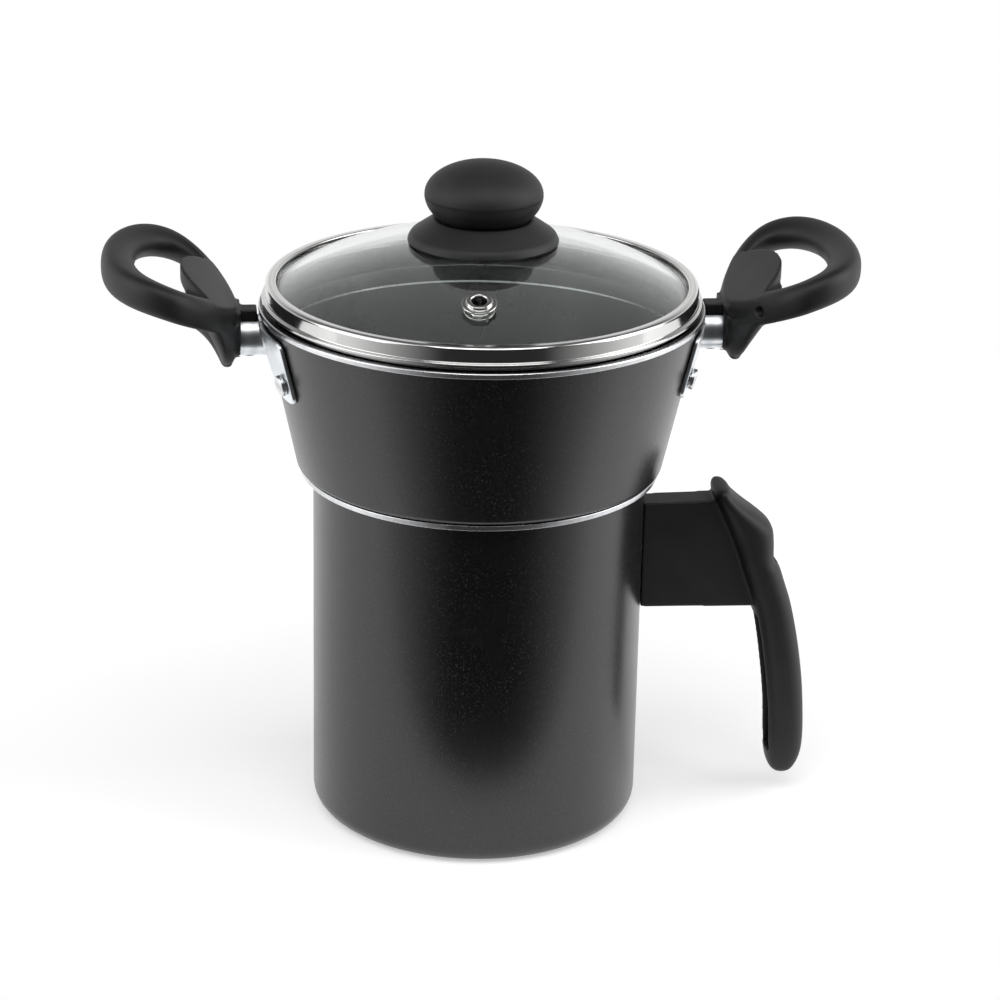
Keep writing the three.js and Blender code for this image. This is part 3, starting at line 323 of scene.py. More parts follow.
# %% Boiler mug
MUG_RADIUS, MUG_HEIGHT, MUG_WALL, MUG_LIP = 61.8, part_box("mug_body")[1][2] / MM, 2, 66.6
MUG_BASE, MUG_CORNER = 3, 7
FOOT_RING, FOOT_RECESS = 40.6, 0.8
LIP, BARE_EDGE = 2, 0.9  # height of both lips, and how far in their bare metal shows
EDGE_SLACK = 0.1
mug = turned([
    (0, FOOT_RECESS), (FOOT_RING - FOOT_RECESS, FOOT_RECESS), (FOOT_RING, 0),
    (MUG_RADIUS, 0, MUG_CORNER),
    (MUG_RADIUS, MUG_HEIGHT - LIP, 4),
    (MUG_LIP, MUG_HEIGHT - LIP, 0.3),
    (MUG_LIP, MUG_HEIGHT, 0.4),
    (MUG_RADIUS - MUG_WALL, MUG_HEIGHT, 6),
    (MUG_RADIUS - MUG_WALL, MUG_BASE, MUG_CORNER - MUG_WALL),
    (0, MUG_BASE),
])
second_material(mug, lambda r, z: r > MUG_LIP - BARE_EDGE and z > MUG_HEIGHT - LIP - EDGE_SLACK)
finish_piece(mug, "mug_shell", "mug", "coated_aluminium", "mug_body", coat, bare_aluminium)

# %% [markdown]
# ## Steaming bowl
# A tapered bowl with a bright lip. Its foot stands on the mug's lip and a collar reaches into the mug.
# The step inside carries the steam plate, and a fine band of bare metal inside the wall is a painted highlight
# line.
# It could be a plain cone with a Solidify modifier; a closed section is turned instead, because the lip,
# the step and the collar each have their own thickness.

# %% Steaming bowl
BOWL_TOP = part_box("steamer_bowl")[1][2] / MM
BOWL_SEAT = MUG_HEIGHT + GAP
BOWL_FOOT, BOWL_WALL_TOP, BOWL_LIP, BOWL_WALL = 67.7, 80.8, 81.8, 2
COLLAR, COLLAR_DEPTH = 59.2, 15.5
LEDGE = BOWL_SEAT + BOWL_WALL
BOWL_SLOPE = (BOWL_WALL_TOP - BOWL_FOOT) / (BOWL_TOP - LIP - BOWL_SEAT)
MOUTH = BOWL_WALL_TOP - BOWL_WALL
# a painted highlight: a thin band of bare metal inside the wall, this far below the top and this high
HIGHLIGHT_DEPTH, HIGHLIGHT_BAND = 14.2, 0.7
HIGHLIGHT_RADIUS = MOUTH - HIGHLIGHT_DEPTH * BOWL_SLOPE
bowl = turned([
    (COLLAR - BOWL_WALL, BOWL_SEAT - COLLAR_DEPTH, 0.6), (COLLAR, BOWL_SEAT - COLLAR_DEPTH, 0.6),
    (COLLAR, BOWL_SEAT),
    (BOWL_FOOT, BOWL_SEAT, 2.5),
    (BOWL_WALL_TOP, BOWL_TOP - LIP, 2),
    (BOWL_LIP, BOWL_TOP - LIP, 0.3),
    (BOWL_LIP, BOWL_TOP, 0.6),
    (MOUTH, BOWL_TOP, 3.5),
    (HIGHLIGHT_RADIUS, BOWL_TOP - HIGHLIGHT_DEPTH),
    (MOUTH - (HIGHLIGHT_DEPTH + HIGHLIGHT_BAND) * BOWL_SLOPE, BOWL_TOP - HIGHLIGHT_DEPTH - HIGHLIGHT_BAND),
    (BOWL_FOOT - BOWL_WALL, LEDGE, 2),
    (COLLAR - BOWL_WALL, LEDGE, 0.8),
], closed=True)
# bare metal on the lip, and on a thin band inside the wall that is a painted highlight line
second_material(
    bowl,
    lambda r, z: z > BOWL_TOP - LIP - EDGE_SLACK and r > BOWL_LIP - BARE_EDGE
    or 0 < BOWL_TOP - HIGHLIGHT_DEPTH - z < HIGHLIGHT_BAND and r < HIGHLIGHT_RADIUS,
)
finish_piece(bowl, "bowl_shell", "bowl", "coated_aluminium", "steamer_bowl", coat, bare_aluminium)

# %% [markdown]
# ## Lid: glass and rim
# The glass is a shallow dome, a slice of a sphere, so its section is an arc with a bore for the knob.
# The rim is rolled round it: a channel for the glass, a lip over the bowl and a skirt inside its mouth.
# A scaled sphere would give the dome too; turned arcs also give the even thickness and the ground edge.

# %% Glass dome and rim
DOME, GLASS_THICKNESS, GLASS_RADIUS, GLASS_BORE, GLASS_LIFT = 160, 3.5, 77.3, 4, 1.4
ARC_STEPS = 24
RIM_BOTTOM = BOWL_TOP + GAP
RIM_TOP = RIM_BOTTOM + 8.3
DOME_CENTRE = RIM_BOTTOM + GLASS_LIFT - math.sqrt((DOME - GLASS_THICKNESS) ** 2 - GLASS_RADIUS ** 2)


def glass_top(r):
    return DOME_CENTRE + math.sqrt(DOME ** 2 - r ** 2)


def glass_under(r):
    return DOME_CENTRE + math.sqrt((DOME - GLASS_THICKNESS) ** 2 - r ** 2)


radii = [GLASS_BORE + (GLASS_RADIUS - GLASS_BORE) * i / ARC_STEPS for i in range(ARC_STEPS)]
lid_glass = turned(
    [(r, glass_under(r)) for r in radii]
    + [(GLASS_RADIUS, glass_under(GLASS_RADIUS), 0.8), (GLASS_RADIUS, glass_top(GLASS_RADIUS), 0.8)]
    + [(r, glass_top(r)) for r in reversed(radii)],
    closed=True,
)
RIM_RADIUS, LID_LIP, LIP_BOTTOM, LIP_TOP = 79.2, 80.6, RIM_BOTTOM + 1.2, RIM_BOTTOM + 2.6
COVER = GLASS_RADIUS - 2
RIM_SKIRT, SKIRT_GAP, RIM_SHEET = 8, 1.2, 1
SKIRT_OUT = MOUTH - SKIRT_GAP - RIM_SKIRT * BOWL_SLOPE
SKIRT_IN = SKIRT_OUT - RIM_SHEET
lid_rim = turned([
    # the skirt in the bowl's mouth
    (SKIRT_IN, RIM_BOTTOM - RIM_SKIRT, 0.3), (SKIRT_OUT, RIM_BOTTOM - RIM_SKIRT, 0.3), (SKIRT_OUT, RIM_BOTTOM),
    # the outside, with the lip over the bowl
    (RIM_RADIUS, RIM_BOTTOM, 0.4), (RIM_RADIUS, LIP_BOTTOM), (LID_LIP, LIP_BOTTOM, 0.5),
    (LID_LIP, LIP_TOP, 0.5), (RIM_RADIUS, LIP_TOP, 0.6), (RIM_RADIUS, RIM_TOP, 1.4), (COVER, RIM_TOP, 0.5),
    # the channel that holds the glass
    (COVER, glass_top(COVER) + GAP, 0.3), (GLASS_RADIUS + GAP, glass_top(COVER) + GAP),
    (GLASS_RADIUS + GAP, glass_under(GLASS_RADIUS) - GAP),
    (GLASS_RADIUS - GAP, glass_under(GLASS_RADIUS) - GAP), (SKIRT_IN, glass_under(SKIRT_IN) - GAP),
], closed=True)
finish_piece(lid_rim, "lid_rim_rolled", "lid", "stainless_steel", "lid_rim", stainless)

# %% [markdown]
# ## Helpers for holes and mouldings
# A hole is cut by a Boolean modifier, which is applied, so the mesh itself has the hole.
# A moulding has soft edges where its parts meet. Bevels would have to follow those edges; a fine voxel remesh
# with a little smoothing finds them by itself, and it gives overlapping parts one skin.

# %% Holes and mouldings
def work_object(parts):
    """An object for modifiers to work on, from one or more bmeshes, which are used up."""
    joined = bmesh.new()
    for part in parts:
        mesh = bpy.data.meshes.new("work")
        part.to_mesh(mesh)
        part.free()
        joined.from_mesh(mesh)
    mesh = bpy.data.meshes.new("work")
    joined.to_mesh(mesh)
    joined.free()
    work = bpy.data.objects.new("work", mesh)
    scene.collection.objects.link(work)
    return work


def take_away(work, tool):
    modifier = work.modifiers.new("cut", "BOOLEAN")
    modifier.object, modifier.operation, modifier.solver = tool, "DIFFERENCE", "EXACT"


def add_skin(work, voxel):
    modifier = work.modifiers.new("skin", "REMESH")
    modifier.mode, modifier.voxel_size = "VOXEL", voxel * MM


def applied(work, tools):
    """The object's mesh with its modifiers applied, as a bmesh. The objects are removed."""
    shaped = work.evaluated_get(bpy.context.evaluated_depsgraph_get()).to_mesh()
    result = bmesh.new()
    result.from_mesh(shaped)
    for used in [work] + tools:
        bpy.data.objects.remove(used)
    return result


def cut(base, *cutters):
    """Cuts a bmesh with others."""
    work, tools = work_object([base]), [work_object([cutter]) for cutter in cutters]
    for tool in tools:
        take_away(work, tool)
    return applied(work, tools)


def moulding(parts, cutters, voxel, smoothing):
    """Gives overlapping parts one skin, takes the cutters away, and softens the edges with a second skin."""
    work, tools = work_object(parts), [work_object([cutter]) for cutter in cutters]
    add_skin(work, voxel)
    for tool in tools:
        take_away(work, tool)
    if tools:
        add_skin(work, voxel)
    smooth = work.modifiers.new("smooth", "SMOOTH")
    smooth.factor, smooth.iterations = 0.5, smoothing
    return applied(work, tools)


# %% [markdown]
# ## Steam vent
# A pressed eyelet lets steam out. It is flanged over the glass on both sides and stands square to the dome.
# It could be modelled on the slope; it is easier to turn it upright and then tilt it and its hole into place.

# %% Vent and its hole
VENT_REACH, VENT_TURN, VENT_HOLE = 54.5, math.radians(-97), 3.9
VENT_PLACE = (
    Matrix.Translation((0, 0, DOME_CENTRE * MM))
    @ Matrix.Rotation(VENT_TURN, 4, "Z")
    @ Matrix.Rotation(math.asin(VENT_REACH / DOME), 4, "Y")
    @ Matrix.Translation((0, 0, DOME * MM))
)
VENT_BORE, VENT_SHANK, FLANGE_UNDER, FLANGE_TOP, VENT_NECK = 2.8, 3.6, 5.4, 6.2, 4.6
UNDER = -GLASS_THICKNESS - 0.45
vent = turned([
    (VENT_BORE, UNDER - 0.8), (FLANGE_UNDER, UNDER - 0.8, 0.3), (FLANGE_UNDER, UNDER, 0.2), (VENT_SHANK, UNDER),
    (VENT_SHANK, GAP), (FLANGE_TOP, GAP, 0.3), (FLANGE_TOP, GAP + 0.8, 0.3),
    (VENT_NECK, GAP + 0.8, 0.4), (VENT_NECK, GAP + 2, 0.8), (VENT_BORE, GAP + 2, 0.8),
], closed=True, steps=48)
bmesh.ops.transform(vent, matrix=VENT_PLACE, verts=vent.verts)
finish_piece(vent, "vent_eyelet_pressed", "lid", "stainless_steel", "vent_eyelet", stainless)
vent_hole = rod(VENT_HOLE, -8, 4)
bmesh.ops.transform(vent_hole, matrix=VENT_PLACE, verts=vent_hole.verts)
lid_glass = cut(lid_glass, vent_hole)
finish_piece(lid_glass, "lid_glass_dome", "lid", "tempered_glass", "lid_glass", glass, sharp=30)

# %% [markdown]
# ## Knob
# A bell-shaped rosette stands on the glass and the mushroom knob sits in its mouth.
# The knob is moulded in two halves, so a fine parting line runs round it just below its widest turn.
# A squashed sphere would be a start for the knob; two arcs let belly and crown have their own height.

# %% Rosette and knob
ROSETTE_RADIUS, ROSETTE_HEIGHT, ROSETTE_MOUTH, ROSETTE_FLOOR = 27.9, 8.6, 17, 3.5
SCREW_HOLE, HUB_RADIUS, RIM_LAND = 2.3, 10.2, 2.4
HUB = glass_top(0) + GAP
rosette_bottom = glass_top(ROSETTE_RADIUS) + GAP
rosette = turned([
    # underside, hollow between the hub and the edge
    (SCREW_HOLE, HUB), (HUB_RADIUS, HUB), (ROSETTE_MOUTH, HUB + 1.2),
    (ROSETTE_RADIUS - RIM_LAND, glass_top(ROSETTE_RADIUS - RIM_LAND) + GAP),
    # bell
    (ROSETTE_RADIUS, rosette_bottom, 0.5),
    (ROSETTE_RADIUS - 1.2, rosette_bottom + ROSETTE_HEIGHT / 3, 5),
    (ROSETTE_MOUTH + 1.4, rosette_bottom + ROSETTE_HEIGHT, 0.7),
    # mouth for the knob
    (ROSETTE_MOUTH, rosette_bottom + ROSETTE_HEIGHT, 0.6),
    (ROSETTE_MOUTH, HUB + ROSETTE_FLOOR, 0.8), (SCREW_HOLE, HUB + ROSETTE_FLOOR),
], closed=True)
finish_piece(rosette, "knob_rosette", "lid", "phenolic", "knob_skirt", phenolic)

KNOB_RADIUS, STEM_RADIUS, BELLY, CROWN = 21.6, 14.5, 11.3, 12
STEM_BOTTOM = HUB + ROSETTE_FLOOR + GAP
INSERT_HOLE, INSERT_DEPTH = 4.3, 13.3
WIDEST = STEM_BOTTOM + BELLY
belly_start = math.acos(STEM_RADIUS / KNOB_RADIUS)
belly_height = (BELLY - 1) / math.sin(belly_start)
belly_arc = [-belly_start * (1 - i / 12) for i in range(12)]
crown_arc = [math.pi / 2 * i / 20 for i in range(20)]
PARTING, PARTING_HALF, PARTING_DEPTH = WIDEST - 1.2, 0.35, 0.5
knob = turned(
    [(0, STEM_BOTTOM + INSERT_DEPTH), (INSERT_HOLE, STEM_BOTTOM + INSERT_DEPTH), (INSERT_HOLE, STEM_BOTTOM)]
    + [(STEM_RADIUS, STEM_BOTTOM, 0.5)]
    + [(KNOB_RADIUS * math.cos(a), WIDEST + belly_height * math.sin(a)) for a in belly_arc]
    + [(KNOB_RADIUS - 0.1, PARTING - PARTING_HALF), (KNOB_RADIUS - PARTING_DEPTH, PARTING)]
    + [(KNOB_RADIUS, PARTING + PARTING_HALF)]
    + [(KNOB_RADIUS * math.cos(a), WIDEST + CROWN * math.sin(a)) for a in crown_arc]
    + [(0, WIDEST + CROWN)]
)
second_material(knob, lambda r, z: z > PARTING)
finish_piece(knob, "knob_mushroom", "lid", "phenolic", "knob", phenolic, phenolic_matt, sharp=60)

# %% [markdown]
# ## Knob fixing
# Under the glass a silicone ring, a washer and a pan-head screw clamp the knob, which holds a brass insert.
# They show from below and when the lid is lifted, so they are plain turned rings with small edges.
# The screw's cross recess is two bars, cut one after the other, because a cutter must not overlap itself.

# %% Gasket, washer, insert
RING_RADIUS, INSERT_RADIUS, INSERT_LENGTH = 8, 4, 13
GASKET_TOP = glass_under(RING_RADIUS) - GAP
WASHER_TOP = GASKET_TOP - 1.2 - GAP
HEAD_TOP = WASHER_TOP - 1 - GAP


def flat_ring(outside, bottom, top, edge):
    """A ring on the knob's screw."""
    return turned([
        (SCREW_HOLE, bottom, edge), (outside, bottom, edge), (outside, top, edge), (SCREW_HOLE, top, edge),
    ], closed=True, steps=64)


gasket = flat_ring(RING_RADIUS, GASKET_TOP - 1.2, GASKET_TOP, 0.3)
finish_piece(gasket, "knob_gasket_ring", "lid", "silicone", "knob_gasket", silicone)
washer = flat_ring(RING_RADIUS, WASHER_TOP - 1, WASHER_TOP, 0.15)
finish_piece(washer, "knob_washer_flat", "lid", "stainless_steel", "knob_washer", stainless)
insert = flat_ring(INSERT_RADIUS, STEM_BOTTOM, STEM_BOTTOM + INSERT_LENGTH, 0.2)
finish_piece(insert, "knob_insert_brass", "lid", "brass", "knob_insert", brass)

# %% Knob screw
def cross_recess(width, depth, length, bottom):
    """Two bars that cut a cross recess upwards from a height, each a cutter of its own."""
    bars = []
    for size in [(length, width, 2 * depth), (width, length, 2 * depth)]:
        bar = bmesh.new()
        bmesh.ops.create_cube(bar, size=1)
        bmesh.ops.scale(bar, vec=Vector(size) * MM, verts=bar.verts)
        bmesh.ops.translate(bar, vec=(0, 0, bottom * MM), verts=bar.verts)
        bars.append(bar)
    return bars


PAN_RADIUS, PAN_HEIGHT, THREAD_RADIUS, THREAD_END = 4.4, 2.6, 2, STEM_BOTTOM + 10
screw = turned([
    (0, HEAD_TOP - PAN_HEIGHT), (PAN_RADIUS, HEAD_TOP - PAN_HEIGHT, 1.3), (PAN_RADIUS, HEAD_TOP, 0.2),
    (THREAD_RADIUS, HEAD_TOP), (THREAD_RADIUS, THREAD_END, 0.4), (0, THREAD_END),
], steps=48)
screw = cut(screw, *cross_recess(1.1, 1.4, 4.6, HEAD_TOP - PAN_HEIGHT))
finish_piece(screw, "knob_screw_pan_head", "lid", "stainless_steel", "knob_screw", stainless)

# %% [markdown]
# ## Steam plate
# A loose pressed disc with rings of holes, on which the couscous lies. Steam rises from the mug through them.
# Each hole could be its own Boolean; one mesh of all the cutters needs only a single one.

# %% Steam plate
PLATE_RADIUS, PLATE_BOTTOM, PLATE_THICKNESS, PLATE_EDGE = 63.3, LEDGE + GAP, 1.5, 0.5
HOLE_RADIUS, RING_PITCH, FIRST_RING, RINGS = 1.75, 12.5, 5, 4
disc = turned([
    (0, PLATE_BOTTOM), (PLATE_RADIUS, PLATE_BOTTOM, PLATE_EDGE),
    (PLATE_RADIUS, PLATE_BOTTOM + PLATE_THICKNESS, PLATE_EDGE), (0, PLATE_BOTTOM + PLATE_THICKNESS),
])
cutters = rod(HOLE_RADIUS, PLATE_BOTTOM - 1, PLATE_BOTTOM + 2 * PLATE_THICKNESS, steps=20)
centre_hole = cutters.verts[:] + cutters.edges[:] + cutters.faces[:]
for ring in range(1, RINGS + 1):
    for i in range(FIRST_RING * ring):
        angle = 2 * math.pi * i / (FIRST_RING * ring)
        copy = bmesh.ops.duplicate(cutters, geom=centre_hole)["geom"]
        way = Vector((math.cos(angle), math.sin(angle), 0)) * ring * RING_PITCH * MM
        bmesh.ops.translate(cutters, vec=way, verts=[v for v in copy if isinstance(v, bmesh.types.BMVert)])
plate = cut(disc, cutters)
finish_piece(
    plate, "steam_plate_perforated", "plate", "bare_aluminium", "steam_plate", plate_aluminium, sharp=30
)

# %% [markdown]
# ## Side handles
# Each moulded loop has an arched bar round a finger hole, a thumb pad and a nose that grips the bracket.
# Rings of points bridged into a loop make the bar, and its underside hangs down at the root to meet the nose.
# A cut outline makes the pad, slices make the nose, and a tongue and an oval core reach into the bracket.
# A Boolean could join them; a fine remesh does it here, because it also gives the soft edges of a moulding.

# %% Skins and solids from outlines
def squared(value, squareness):
    """A cosine or sine made squarer, as for a superellipse."""
    return math.copysign(abs(value) ** (2 / squareness), value)


def bridged(bm, rings, closed=False):
    """Skins a run of rings, and caps both ends unless the run is closed."""
    edges = {edge for ring in rings for vert in ring for edge in vert.link_edges}
    bmesh.ops.bridge_loops(bm, edges=list(edges), use_cyclic=closed)
    if not closed:
        bm.faces.new(rings[0])
        bm.faces.new(rings[-1])
    bmesh.ops.recalc_face_normals(bm, faces=bm.faces)
    return bm


def drawn_out(bm, way):
    """Draws a flat face out along a vector into a closed solid."""
    body = bmesh.ops.extrude_face_region(bm, geom=bm.faces[:])["geom"]
    bmesh.ops.translate(
        bm, vec=Vector(way) * MM, verts=[v for v in body if isinstance(v, bmesh.types.BMVert)]
    )
    bmesh.ops.recalc_face_normals(bm, faces=bm.faces)
    return bm


def prism(points, bottom, top):
    """An upright prism over a plan outline."""
    bm = bmesh.new()
    bm.faces.new([bm.verts.new((x * MM, y * MM, bottom * MM)) for x, y in points])
    return drawn_out(bm, (0, 0, top - bottom))


def sliced(bm, places, normal):
    """Cuts extra edges across a bmesh, so that it can be bent."""
    for place in places:
        bmesh.ops.bisect_plane(
            bm, geom=bm.verts[:] + bm.edges[:] + bm.faces[:],
            plane_co=Vector(normal) * place * MM, plane_no=normal,
        )
    return bm


def both_sides(right):
    """A piece on the right of the bowl, and its copy turned half round to the left."""
    left = right.copy()
    bmesh.ops.rotate(left, cent=(0, 0, 0), matrix=Matrix.Rotation(math.pi, 3, "Z"), verts=left.verts)
    return [("right", right), ("left", left)]


print("half a cosine, made squarer:", round(squared(0.5, 4), 3))

# %% Loop of a side handle
LOOP_ROOT = BOWL_LIP + 6.6
LOOP_LENGTH, LOOP_WIDTH, LOOP_BAR, LOOP_THICKNESS = 49.9, 84, 11.9, 13.4
LOOP_TIP = LOOP_ROOT + LOOP_LENGTH
LOOP_RISE, LOOP_ARCH, HOLE_DEPTH = 22.8, 2.4, 29
TIP_SQUARENESS, ROOT_SQUARENESS, BAR_SQUARENESS = 2.15, 1.7, 2.7
ROOT_THINNING, INNER_THINNING, INNER_DROP = 2.6, 5.5, 1.5
NOSE_BOTTOM = -20.3  # from the bowl's top
# Rise of the underside away from the middle of the root: how high, from where, over which length, power
OUTWARDS, SIDEWAYS = (17.2, 6.5, 15.5, 0.85), (20, 8, 27, 1.2)


def loop_top(x):
    """Height of the arched top at a distance from the axis."""
    share = min(1.2, max(0.0, (LOOP_TIP - x) / LOOP_LENGTH))
    return BOWL_TOP + LOOP_RISE - LOOP_RISE * share ** LOOP_ARCH


def loop_outline(angle, inset=0):
    """A point on the plan of the loop, full at the tip and drawn in towards the root."""
    squareness = TIP_SQUARENESS if math.cos(angle) > 0 else ROOT_SQUARENESS
    return Vector((
        LOOP_TIP - LOOP_LENGTH / 2 + squared(math.cos(angle), squareness) * (LOOP_LENGTH / 2 - inset),
        squared(math.sin(angle), squareness) * (LOOP_WIDTH / 2 - inset),
    ))


def rise(distance, height, start, length, power):
    return height * (max(0.0, distance - start) / length) ** power


def nose_depth(x, y):
    """How low the underside hangs near the root: deepest in the middle, rising outwards and to both sides."""
    return BOWL_TOP + NOSE_BOTTOM + rise(x - LOOP_ROOT, *OUTWARDS) + rise(abs(y), *SIDEWAYS)


def handle_loop(steps=128, around=40):
    bm = bmesh.new()
    rings = []
    for i in range(steps):
        angle = 2 * math.pi * i / steps
        outer = loop_outline(angle)
        inner = Vector((
            LOOP_TIP - LOOP_BAR - HOLE_DEPTH / 2 + math.cos(angle) * HOLE_DEPTH / 2,
            math.sin(angle) * (LOOP_WIDTH / 2 - LOOP_BAR),
        ))
        ring = bmesh.ops.create_circle(bm, segments=around, radius=1)["verts"]
        for vert in ring:
            across = (1 + squared(vert.co.x, BAR_SQUARENESS)) / 2
            up = squared(vert.co.y, BAR_SQUARENESS)
            at = inner.lerp(outer, across)
            inwards = (1 - across) ** 2
            root = max(0.0, (LOOP_TIP - at.x) / LOOP_LENGTH) ** 2
            half = (LOOP_THICKNESS - ROOT_THINNING * root - INNER_THINNING * inwards) / 2
            middle = loop_top(at.x) - INNER_DROP * inwards - half
            if up < 0:
                half = middle - min(middle - half, nose_depth(at.x, at.y))
            vert.co = Vector((at.x, at.y, middle + half * up)) * MM
        rings.append(ring)
    return bridged(bm, rings, closed=True)


print("loop from", round(LOOP_ROOT, 1), "to", round(LOOP_TIP, 1), "mm from the axis")

# %% Pad and nose of a side handle
PAD_DEPTH, PAD_EDGE, PAD_SIDE, PAD_THICKNESS, PAD_SUNK, PAD_INSET = 21.5, 36, 28, 7, 0.3, 1.2
PAD_POINTS, PAD_SLICES = 160, 25


def handle_pad():
    """The pad's plan, sliced across so that it can bend to the arch of the loop."""
    outline = []
    for i in range(PAD_POINTS):
        point = loop_outline(2 * math.pi * i / PAD_POINTS, PAD_INSET)
        if abs(point.y) > PAD_SIDE:
            continue
        edge = LOOP_ROOT + PAD_DEPTH - PAD_EDGE + math.sqrt(PAD_EDGE ** 2 - point.y ** 2)
        outline.append((min(point.x, edge), point.y))
    bm = prism(outline, -PAD_THICKNESS, -PAD_SUNK)
    sliced(bm, [LOOP_ROOT + i for i in range(1, PAD_SLICES + 1)], (1, 0, 0))
    bmesh.ops.remove_doubles(bm, verts=bm.verts, dist=MERGE)
    for vert in bm.verts:
        vert.co.z += loop_top(vert.co.x / MM) * MM
    return bm


NOSE_BEND, NOSE_TOP, NOSE_START = -3, 9.6, 2.9
NOSE_REACH, NOSE_HALF, NOSE_SQUARENESS = 7.3, 8.7, 4


def handle_nose(points=48, slices=22):
    """Slices from the rounded tip up to the pad: they widen up to the bend and lean outwards above it."""
    bm = bmesh.new()
    rings = []
    for i in range(slices + 2):
        t = max(0, i - 1) / slices
        height = NOSE_BOTTOM + (NOSE_TOP - NOSE_BOTTOM) * t
        below = min(1.0, (height - NOSE_BOTTOM) / (NOSE_BEND - NOSE_BOTTOM))
        above = max(0.0, (height - NOSE_BEND) / (NOSE_TOP - NOSE_BEND))
        start = max(NOSE_START * (1 - below ** 3), 11 * above)
        end = NOSE_REACH + 7.5 * below + 4.5 * below ** 3 + 0.7 * above
        half_width = NOSE_HALF + 9 * below ** 2.1 + 4 * above
        if i == 0:
            height, start, end, half_width = height - 1, start + 0.8, end - 0.9, half_width - 1.2
        ring = bmesh.ops.create_circle(bm, segments=points, radius=1)["verts"]
        for vert in ring:
            along = LOOP_ROOT + (start + end) / 2 + squared(vert.co.x, NOSE_SQUARENESS) * (end - start) / 2
            across = squared(vert.co.y, NOSE_SQUARENESS) * half_width
            vert.co = Vector((along, across, BOWL_TOP + height)) * MM
        rings.append(ring)
    return bridged(bm, rings)


print("nose hangs", -NOSE_BOTTOM, "mm below the bowl's top")

# %% Tongue, core and ferrule
FERRULE_WIDTH, FERRULE_TOP, FERRULE_BOTTOM, FERRULE_LENGTH, SHEET = 16, -3.4, -18.6, 10.6, 1.5
TONGUE_WIDTH, TONGUE_DEPTH = 8, 6
PAST, DEEP = 5, 70  # how far cutters reach past an end, and a start well inside the bowl's wall


def bar_along_x(half_width, bottom, top, start, end):
    """A bar with a rounded underside, standing in the YZ plane and drawn out along X."""
    bm = bmesh.new()
    corners = [(-half_width, top), (-half_width, bottom), (half_width, bottom), (half_width, top)]
    verts = [bm.verts.new((start * MM, y * MM, (BOWL_TOP + z) * MM)) for y, z in corners]
    bm.faces.new(verts)
    bmesh.ops.bevel(
        bm, geom=verts[1:3], offset=half_width * 0.96 * MM, offset_type="OFFSET", affect="VERTICES",
        segments=12, profile=0.5, material=-1,
    )
    return drawn_out(bm, (end - start, 0, 0))


def oval_bar(inset, start, end):
    """A bar along X with the oval section of a ferrule, made smaller by an inset."""
    bm = bmesh.new()
    half_height = (FERRULE_TOP - FERRULE_BOTTOM) / 2
    middle = BOWL_TOP + FERRULE_TOP - half_height
    for vert in bmesh.ops.create_circle(bm, cap_ends=True, segments=64, radius=1)["verts"]:
        across, up = vert.co.x * (FERRULE_WIDTH / 2 - inset), vert.co.y * (half_height - inset)
        vert.co = Vector((start, across, middle + up)) * MM
    return drawn_out(bm, (end - start, 0, 0))


def ferrule(grow, start, end):
    """The tube of a bracket along X, slotted for the tongue and grown on all sides by a clearance."""
    slot_half = TONGUE_WIDTH / 2 + GAP - grow
    return cut(
        oval_bar(-grow, start, end),
        oval_bar(SHEET + grow, start - PAST, end + PAST),
        bar_along_x(slot_half, FERRULE_TOP - TONGUE_DEPTH, FERRULE_TOP + 6, start - PAST, end + PAST),
    )


print("ferrule", FERRULE_WIDTH, "mm wide and", round(FERRULE_TOP - FERRULE_BOTTOM, 1), "mm high")

# %% Whole side handles
COLLAR_HALF, COLLAR_BOTTOM, COLLAR_TOP, COLLAR_LENGTH = 9.4, -19.2, -0.3, 2.5
DIMPLE_SIZE, DIMPLE_PLACE = (4.6, 2.2, 1.9), (LOOP_ROOT + 9, -28.6, BOWL_TOP + 4)
TONGUE_START, TONGUE_END, TONGUE_TOP = BOWL_LIP + 0.5, LOOP_ROOT + 6, -0.8
HANDLE_CLEARANCE = 0.4
dimple = bmesh.new()
bmesh.ops.create_uvsphere(dimple, u_segments=24, v_segments=16, radius=1)
bmesh.ops.scale(dimple, vec=Vector(DIMPLE_SIZE) * MM, verts=dimple.verts)
bmesh.ops.translate(dimple, vec=Vector(DIMPLE_PLACE) * MM, verts=dimple.verts)
collar = bar_along_x(COLLAR_HALF, COLLAR_BOTTOM, COLLAR_TOP, LOOP_ROOT, LOOP_ROOT + COLLAR_LENGTH)
tongue = bar_along_x(TONGUE_WIDTH / 2, FERRULE_TOP - TONGUE_DEPTH, TONGUE_TOP, TONGUE_START, TONGUE_END)
core = oval_bar(SHEET + 0.6, TONGUE_START, TONGUE_END)
grip = moulding(
    [handle_loop(), handle_pad(), handle_nose(), collar, tongue, core],
    [ferrule(HANDLE_CLEARANCE, DEEP, BOWL_LIP + FERRULE_LENGTH + HANDLE_CLEARANCE), dimple],
    voxel=0.5, smoothing=5,
)
for side, handle in both_sides(grip):
    finish_piece(handle, side + "_loop_handle", "bowl", "phenolic", side + "_side_handle", phenolic, sharp=180)

# %% [markdown]
# ## Brackets, rivets and screws
# A bracket is pressed from plated sheet: a ferrule, rolled round the handle's core and slotted on top for its
# tongue, and two feet on the bowl's wall. The feet are a flat outline, sliced and bent to the taper.
# The sheet bends from the ferrule into the feet, so both are remeshed into one skin and smoothed.
# Two domed rivets hold each bracket, and a countersunk screw holds each handle from below.

# %% Brackets
FOOT_SPREAD, FOOT_INSIDE, FOOT_TOP, FOOT_BOTTOM, FOOT_ROUND = 31, 18.8, -5, -28.5, 3.4
SLICE, SLICES = 1.6, 19


def wall_radius(z):
    return BOWL_FOOT + (z - BOWL_SEAT) * BOWL_SLOPE


